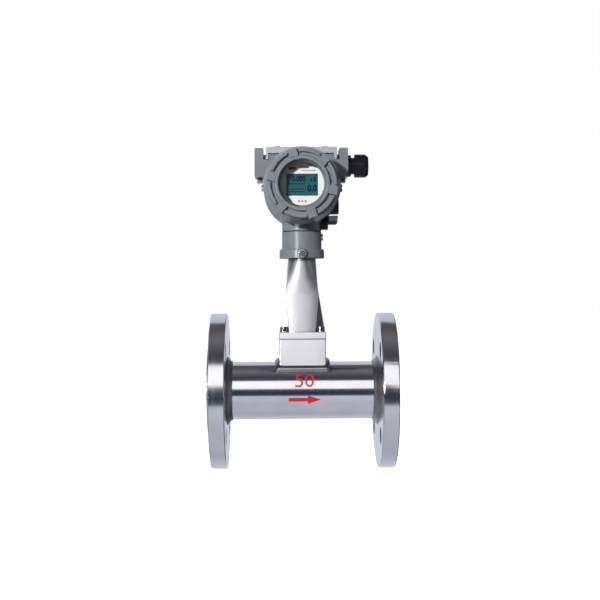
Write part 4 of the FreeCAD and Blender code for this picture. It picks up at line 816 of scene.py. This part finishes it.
@dataclass
class Line:
    """Tube, flanges, welds and the printed flow mark. Its sizes are in millimetres.

    Args:
        bench: the frame and its tools.
        finishes: the materials.
        ripple: the height of a weld's ripples, which each bead sinks and swings by its own shares.
        ripple_pitch: the ripples' distance.
        saddle_side: how far out the base block's weld turns from across the line to along it.
    """

    bench: Bench
    finishes: Finishes
    voxel: float = 0.6
    ripple: float = 0.11
    ripple_pitch: float = 2.2
    round_sink: float = 0.55
    round_swing: float = 0.45
    round_curve: float = 2.4
    saddle_sink: float = 0.7
    saddle_swing: float = 0.6
    saddle_side: float = 19.0
    wander: float = 1.5
    wander_rate: float = 300.0
    mark_x: float = 101.7
    arrow_length: float = 34.0
    arrow_shaft: float = 3.9
    arrow_head_length: float = 13.6
    arrow_head_width: float = 9.5
    arrow_z: float = -7.6
    number_z: float = 12.6
    number_height: float = 15.0
    print_thickness: float = 0.08
    print_step: float = 0.8

    def build(self) -> None:
        """Dresses the line from end to end."""
        self.bench.remake("flow_tube", self.finishes.polished, edge=0.2)
        for end in ("inlet", "outlet"):
            self.bench.remake(f"{end}_flange", self.finishes.turned, edge=0.25)
            self.round_bead(f"{end}_flange_weld")
            self.round_bead(f"{end}_bore_weld")
        self.saddle_bead("base_block_weld")
        self.bench.remake("bluff_body", self.finishes.turned, edge=0.2)
        self.arrow()
        self.number()

    def bead(self, node: str) -> Piece:
        """Returns a weld's copy with an even, fine mesh."""
        piece = self.bench.copy(node, node + "_bead")
        remesh = piece.modifiers.new("even", "REMESH")
        remesh.mode = "VOXEL"
        remesh.voxel_size = self.voxel * MM
        bpy.ops.object.modifier_apply(modifier=remesh.name)
        return piece

    def round_bead(self, node: str) -> None:
        """Ripples a weld that runs round the tube."""
        piece = self.bead(node)
        low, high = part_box(node)
        radius = (high[2] - low[2]) / 2
        ripples = round(2 * math.pi * radius / (self.ripple_pitch * MM))
        for vertex in piece.data.vertices:
            angle = math.atan2(vertex.co.z, vertex.co.y)
            share = (vertex.co.x - low[0]) / (high[0] - low[0])
            wave = math.sin(angle * ripples + self.round_curve * abs(share - 0.5))
            vertex.co -= vertex.normal * (self.ripple * MM * (self.round_sink - self.round_swing * wave))
        self.finish_bead(piece, node)

    def saddle_bead(self, node: str) -> None:
        """Ripples the weld round the base block."""
        piece = self.bead(node)
        low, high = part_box(node)
        centre = Vector(((low[0] + high[0]) / 2, 0.0, 0.0))
        for vertex in piece.data.vertices:
            offset = vertex.co - centre
            run = offset.x if abs(offset.y) > self.saddle_side * MM else offset.y
            turns = 2 * math.pi * run / (self.ripple_pitch * MM)
            wave = math.sin(turns + self.wander * math.sin(run * self.wander_rate))
            vertex.co -= vertex.normal * (self.ripple * MM * (self.saddle_sink - self.saddle_swing * wave))
        self.finish_bead(piece, node)

    def finish_bead(self, piece: Piece, node: str) -> None:
        """Smooths a bead and gives it its finish."""
        only(piece)
        bpy.ops.object.shade_smooth()
        self.bench.finish(piece, self.finishes.weld, self.bench.bodies[node], (node,))

    def wrap(self, piece: Piece, height: float) -> None:
        """Lays a flat print on the tube's front.

        Args:
            piece: a flat mesh in the XY plane; its X runs along the line.
            height: the print's middle, above the line's axis, in metres.
        """
        low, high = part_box("flow_tube")
        radius = (high[2] - low[2]) / 2
        mesh = bmesh.new()
        mesh.from_mesh(piece.data)
        reach = max(abs(vertex.co.y) for vertex in mesh.verts)
        step = self.print_step * MM
        rows = math.ceil(reach / step)
        for index in range(-rows, rows + 1):
            everything = mesh.verts[:] + mesh.edges[:] + mesh.faces[:]
            bmesh.ops.bisect_plane(mesh, geom=everything, plane_co=(0, index * step, 0), plane_no=(0, 1, 0))
        middle = math.asin(height / radius)
        for vertex in mesh.verts:
            angle = middle + vertex.co.y / radius
            lift = radius + self.print_thickness * MM
            vertex.co = (vertex.co.x + self.mark_x * MM, -lift * math.cos(angle), lift * math.sin(angle))
        bmesh.ops.recalc_face_normals(mesh, faces=mesh.faces[:])
        if sum(face.normal.y * face.calc_area() for face in mesh.faces) > 0:
            bmesh.ops.reverse_faces(mesh, faces=mesh.faces[:])
        mesh.to_mesh(piece.data)
        mesh.free()
        wall = piece.modifiers.new("print", "SOLIDIFY")
        wall.thickness = self.print_thickness * MM
        wall.offset = -1.0
        only(piece)
        bpy.ops.object.modifier_apply(modifier=wall.name)
        self.bench.finish(piece, self.finishes.red, self.bench.bodies["flow_tube"])

    def arrow(self) -> None:
        """The red arrow that shows which way the fluid runs."""
        half = self.arrow_length / 2
        neck = half - self.arrow_head_length
        bpy.ops.mesh.primitive_plane_add(size=1.0)
        arrow = bpy.context.object
        for vertex in arrow.data.vertices:
            along = neck if vertex.co.x > 0 else -half
            vertex.co = (along * MM, math.copysign(self.arrow_shaft / 2, vertex.co.y) * MM, 0.0)
        bpy.ops.mesh.primitive_circle_add(vertices=3, radius=1.0, fill_type="NGON")
        head = bpy.context.object
        width = self.arrow_head_width / 2
        for vertex, place in zip(head.data.vertices, ((half, 0), (neck, width), (neck, -width))):
            vertex.co = (place[0] * MM, place[1] * MM, 0.0)
        bpy.ops.object.select_all(action="DESELECT")
        head.select_set(True)
        arrow.select_set(True)
        bpy.context.view_layer.objects.active = arrow
        bpy.ops.object.join()
        self.bench.settle(arrow, "flow_arrow")
        self.wrap(arrow, self.arrow_z * MM)

    def number(self) -> None:
        """A plain number for the bore."""
        number = flat_text("bore_number", "50", self.number_height * MM)
        self.bench.settle(number, "bore_number")
        self.wrap(number, self.number_z * MM)


def flat_text(name: str, words: str, height: float, width: float = 0.0, bold: float = 0.0) -> Piece:
    """Makes a number as a flat mesh, centred on the origin in the XY plane.

    Args:
        name: the new object's name.
        words: the digits.
        height: height of a digit, in metres.
        width: width of the whole number, in metres, or 0 for the font's own.
        bold: how far each stroke grows, as a share of the font's size.

    Returns:
        The flat mesh object.
    """
    bpy.ops.object.text_add(location=(0.0, 0.0, 0.0))
    piece = bpy.context.object
    piece.name = name
    piece.data.body = words
    piece.data.align_x = "CENTER"
    piece.data.align_y = "CENTER"
    piece.data.resolution_u = 4
    piece.data.offset = bold
    only(piece)
    bpy.ops.object.convert(target="MESH")
    piece = bpy.context.object
    ys = [vertex.co.y for vertex in piece.data.vertices]
    xs = [vertex.co.x for vertex in piece.data.vertices]
    tall = height / (max(ys) - min(ys))
    wide = width / (max(xs) - min(xs)) if width else tall
    middle = Vector(((max(xs) + min(xs)) / 2, (max(ys) + min(ys)) / 2, 0.0))
    for vertex in piece.data.vertices:
        offset = vertex.co - middle
        vertex.co = (offset.x * wide, offset.y * tall, 0.0)
    return piece


@dataclass
class Stem:
    """Base block, clamped plate and stem."""

    bench: Bench
    finishes: Finishes

    def build(self) -> None:
        """Dresses the stem from the block up."""
        self.bench.remake("base_block", self.finishes.block, edge=0.5)
        self.bench.remake("stem_plate", self.finishes.block, edge=0.4)
        self.bench.remake("stem", self.finishes.satin, edge=0.5, angle=12.0)
        self.bench.remake("stem_screws", self.finishes.fastener, edge=0.15)
        self.bench.remake("stem_spring_washers", self.finishes.fastener, edge=0.15)
        for node in ("seat_gasket", "sensor_gasket"):
            self.bench.keep(node, self.finishes.gasket)
        self.bench.keep("vortex_sensor", self.finishes.turned)
        self.bench.keep("sensor_lead", self.finishes.rubber)
        self.bench.keep("lead_connector", self.finishes.brass)


@dataclass
class Head:
    """The cast head on its neck, with covers, caps and top plate. Its sizes are in millimetres.

    Args:
        bench: the frame and its tools.
        finishes: the materials.
        window_radius: the display window's radius in the solids.
        window_reach: how near to that radius a point of the window's wall lies.
        window_taper: how much narrower the window becomes at the glass.
        taper_back: how far behind the glass the wall's points start.
        taper_front: how far in front of the glass they end.
        taper_run: the depth over which the window would come back to its full width.
    """

    bench: Bench
    finishes: Finishes
    window_radius: float = 24.8
    window_reach: float = 0.9
    window_taper: float = 2.4
    taper_back: float = -0.2
    taper_front: float = 3.0
    taper_run: float = 5.0

    def build(self) -> None:
        """Dresses the head's outer pieces."""
        paint = self.finishes.paint
        self.bench.remake("neck_adapter", paint, edge=0.5)
        self.bench.remake("head_housing", self.finishes.casting, edge=0.7)
        self.taper_window(self.bench.remake("display_cover", paint, edge=0.55))
        self.bench.remake("terminal_cover", paint, edge=0.55)
        self.bench.remake("nameplate", self.finishes.pale, edge=0.4)
        for node in ("swivel_lock_screw", "swivel_stop_screw", "earth_screw", "nameplate_screws"):
            self.bench.remake(node, self.finishes.fastener, edge=0.15)
        for node in ("adjuster_cap", "neck_port_cap", "side_plug"):
            self.bench.remake(node, self.finishes.nylon, edge=0.35)
        for node in ("neck_seal", "display_cover_seal", "terminal_cover_seal", "window_gasket"):
            self.bench.keep(node, self.finishes.rubber)
        self.bench.keep("window_clamp_ring", self.finishes.pale)
        self.bench.keep("window_glass", self.finishes.glass)
        self.bench.keep("entry_plug", self.finishes.fastener)

    def taper_window(self, cover: Piece) -> None:
        """Narrows the display window towards its glass, as a moulded opening is."""
        low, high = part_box("window_gasket")
        centre_x = (low[0] + high[0]) / 2
        centre_z = (low[2] + high[2]) / 2
        seat = low[1]
        for vertex in cover.data.vertices:
            across = vertex.co.x - centre_x
            up = vertex.co.z - centre_z
            radius = math.hypot(across, up)
            depth = seat - vertex.co.y
            if abs(radius - self.window_radius * MM) > self.window_reach * MM:
                continue
            if not self.taper_back * MM < depth < self.taper_front * MM:
                continue
            share = 1 - self.window_taper * MM / radius * (1 - max(depth, 0.0) / (self.taper_run * MM))
            vertex.co.x = centre_x + across * share
            vertex.co.z = centre_z + up * share


@dataclass
class Display:
    """Display plate, crystal panel with its digits, boards and terminals."""

    bench: Bench
    finishes: Finishes
    lift: float = 0.06
    bold: float = 0.03
    corner_share: float = 0.3
    panel_half_x: float = 16.4
    panel_half_z: float = 11.35
    line_width: float = 17.6
    line_height: float = 0.6
    line_x: float = -6.4
    line_places: Triple = (1.1, -4.4, -7.0)

    def build(self) -> None:
        """Dresses the display and what lies behind it."""
        self.bench.remake("display_faceplate", self.finishes.plate, edge=0.15)
        self.bench.remake("lcd_panel", self.finishes.lcd, edge=0.15)
        self.bench.keep("display_board", self.finishes.board)
        self.bench.keep("electronics_module", self.finishes.potting)
        self.bench.keep("wall_feedthrough", self.finishes.potting)
        self.bench.remake("terminal_block", self.finishes.potting, edge=0.3)
        for node in ("display_posts", "board_standoffs", "terminal_screws"):
            self.bench.keep(node, self.finishes.brass)
        self.digits()
        self.bars()
        self.bezel()
        self.key_marks()

    def on_face(self, piece: Piece, node: str, x: float, z: float, name: str) -> None:
        """Stands a flat mesh up on the front of a node.

        Args:
            piece: a flat mesh in the XY plane.
            node: the node whose front carries it.
            x: the piece's middle, right of the node's middle, in millimetres.
            z: the piece's middle, above the node's middle, in millimetres.
            name: the piece's name.
        """
        low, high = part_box(node)
        middle = Vector(((low[0] + high[0]) / 2, low[1], (low[2] + high[2]) / 2))
        place = middle + Vector((x * MM, -self.lift * MM, z * MM))
        turn = Matrix.Rotation(math.pi / 2, 4, "X")
        for vertex in piece.data.vertices:
            vertex.co = place + turn @ vertex.co
        wall = piece.modifiers.new("print", "SOLIDIFY")
        wall.thickness = self.lift * MM
        wall.offset = -1.0
        only(piece)
        bpy.ops.object.modifier_apply(modifier=wall.name)
        self.bench.settle(piece, name)

    def digits(self) -> None:
        """The reading and two smaller numbers.

        Each row gives the digits, their height and width, and their place right of and above the
        panel's middle, in millimetres.
        """
        rows = (
            ("reading_digits", "0.000", 5.9, 14.4, -3.6, 6.3),
            ("unit_digits", "12", 4.2, 6.2, 12.0, 5.5),
            ("lower_digits", "0.0", 7.0, 9.9, 10.4, -3.6),
        )
        for name, words, height, width, x, z in rows:
            piece = flat_text(name, words, height * MM, width * MM, self.bold)
            self.on_face(piece, "lcd_panel", x, z, name)
            self.bench.finish(piece, self.finishes.segment, "head")

    def strip(
        self, name: str, width: float, height: float, node: str, x: float, z: float, finish: Finish
    ) -> None:
        """Adds a printed bar with rounded corners on the front of a node, in millimetres."""
        bpy.ops.mesh.primitive_plane_add(size=1.0)
        piece = bpy.context.object
        for vertex in piece.data.vertices:
            vertex.co = (vertex.co.x * width * MM, vertex.co.y * height * MM, 0.0)
        bpy.ops.object.mode_set(mode="EDIT")
        bpy.ops.mesh.select_all(action="SELECT")
        corner = min(width, height) * self.corner_share * MM
        bpy.ops.mesh.bevel(offset=corner, segments=4, affect="VERTICES")
        bpy.ops.object.mode_set(mode="OBJECT")
        self.on_face(piece, node, x, z, name)
        self.bench.finish(piece, finish, "head")

    def bars(self) -> None:
        """Thin level lines across the panel."""
        ink = self.finishes.segment
        for index, z in enumerate(self.line_places):
            name = f"panel_line_{index + 1}"
            self.strip(name, self.line_width, self.line_height, "lcd_panel", self.line_x, z, ink)

    def bezel(self) -> None:
        """Dark edges round the panel's window: each one's side, way and width in millimetres."""
        dark = self.finishes.bezel
        for side, way, edge in (("left", -1, 1.1), ("right", 1, 0.7)):
            x = way * (self.panel_half_x - edge / 2)
            self.strip(f"bezel_{side}", edge, 2 * self.panel_half_z, "lcd_panel", x, 0.0, dark)
        for side, way, edge in (("top", 1, 0.9), ("bottom", -1, 0.6)):
            z = way * (self.panel_half_z - edge / 2)
            self.strip(f"bezel_{side}", 2 * self.panel_half_x, edge, "lcd_panel", 0.0, z, dark)

    def key_marks(self) -> None:
        """Plain marks on the display plate: name, width, height, place and finish of each."""
        red = self.finishes.red
        dark = self.finishes.bezel
        marks = (
            ("plate_mark_red", 7.5, 3.0, -10.0, 17.0, red),
            ("plate_mark_dark", 10.0, 1.6, 2.2, 18.0, dark),
            ("plate_line_red", 14.0, 0.7, 6.5, 14.6, red),
            ("key_mark_1", 1.9, 1.9, -3.6, -17.2, red),
            ("key_mark_2", 1.9, 1.9, 0.0, -17.2, red),
            ("key_mark_3", 1.9, 1.9, 3.6, -17.2, red),
        )
        for name, width, height, x, z, finish in marks:
            self.strip(name, width, height, "display_faceplate", x, z, finish)


@dataclass
class CableEntry:
    """The black gland in the right entry."""

    bench: Bench
    finishes: Finishes

    def build(self) -> None:
        """Dresses the gland."""
        self.bench.remake("gland_body", self.finishes.nylon, edge=0.3)
        self.bench.remake("gland_dome_nut", self.finishes.nylon, edge=0.4, angle=25.0)
        self.bench.keep("gland_thrust_ring", self.finishes.nylon)
        self.bench.keep("gland_clamp_seal", self.finishes.rubber)


def main() -> None:
    """Builds the studio and dresses the meter, one sub-assembly after another."""
    logging.basicConfig(level=logging.INFO, format="%(message)s")
    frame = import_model()
    bpy.ops.object.select_all(action="DESELECT")
    bpy.context.scene.view_settings.view_transform = "Standard"
    bench = Bench(frame)
    low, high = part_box("stem")
    Studio(stem_x=(low[0] + high[0]) / 2).build()
    finishes = Finishes()
    for assembly in (Line, Stem, Head, Display, CableEntry):
        assembly(bench, finishes).build()


if __name__ == "__main__":
    main()
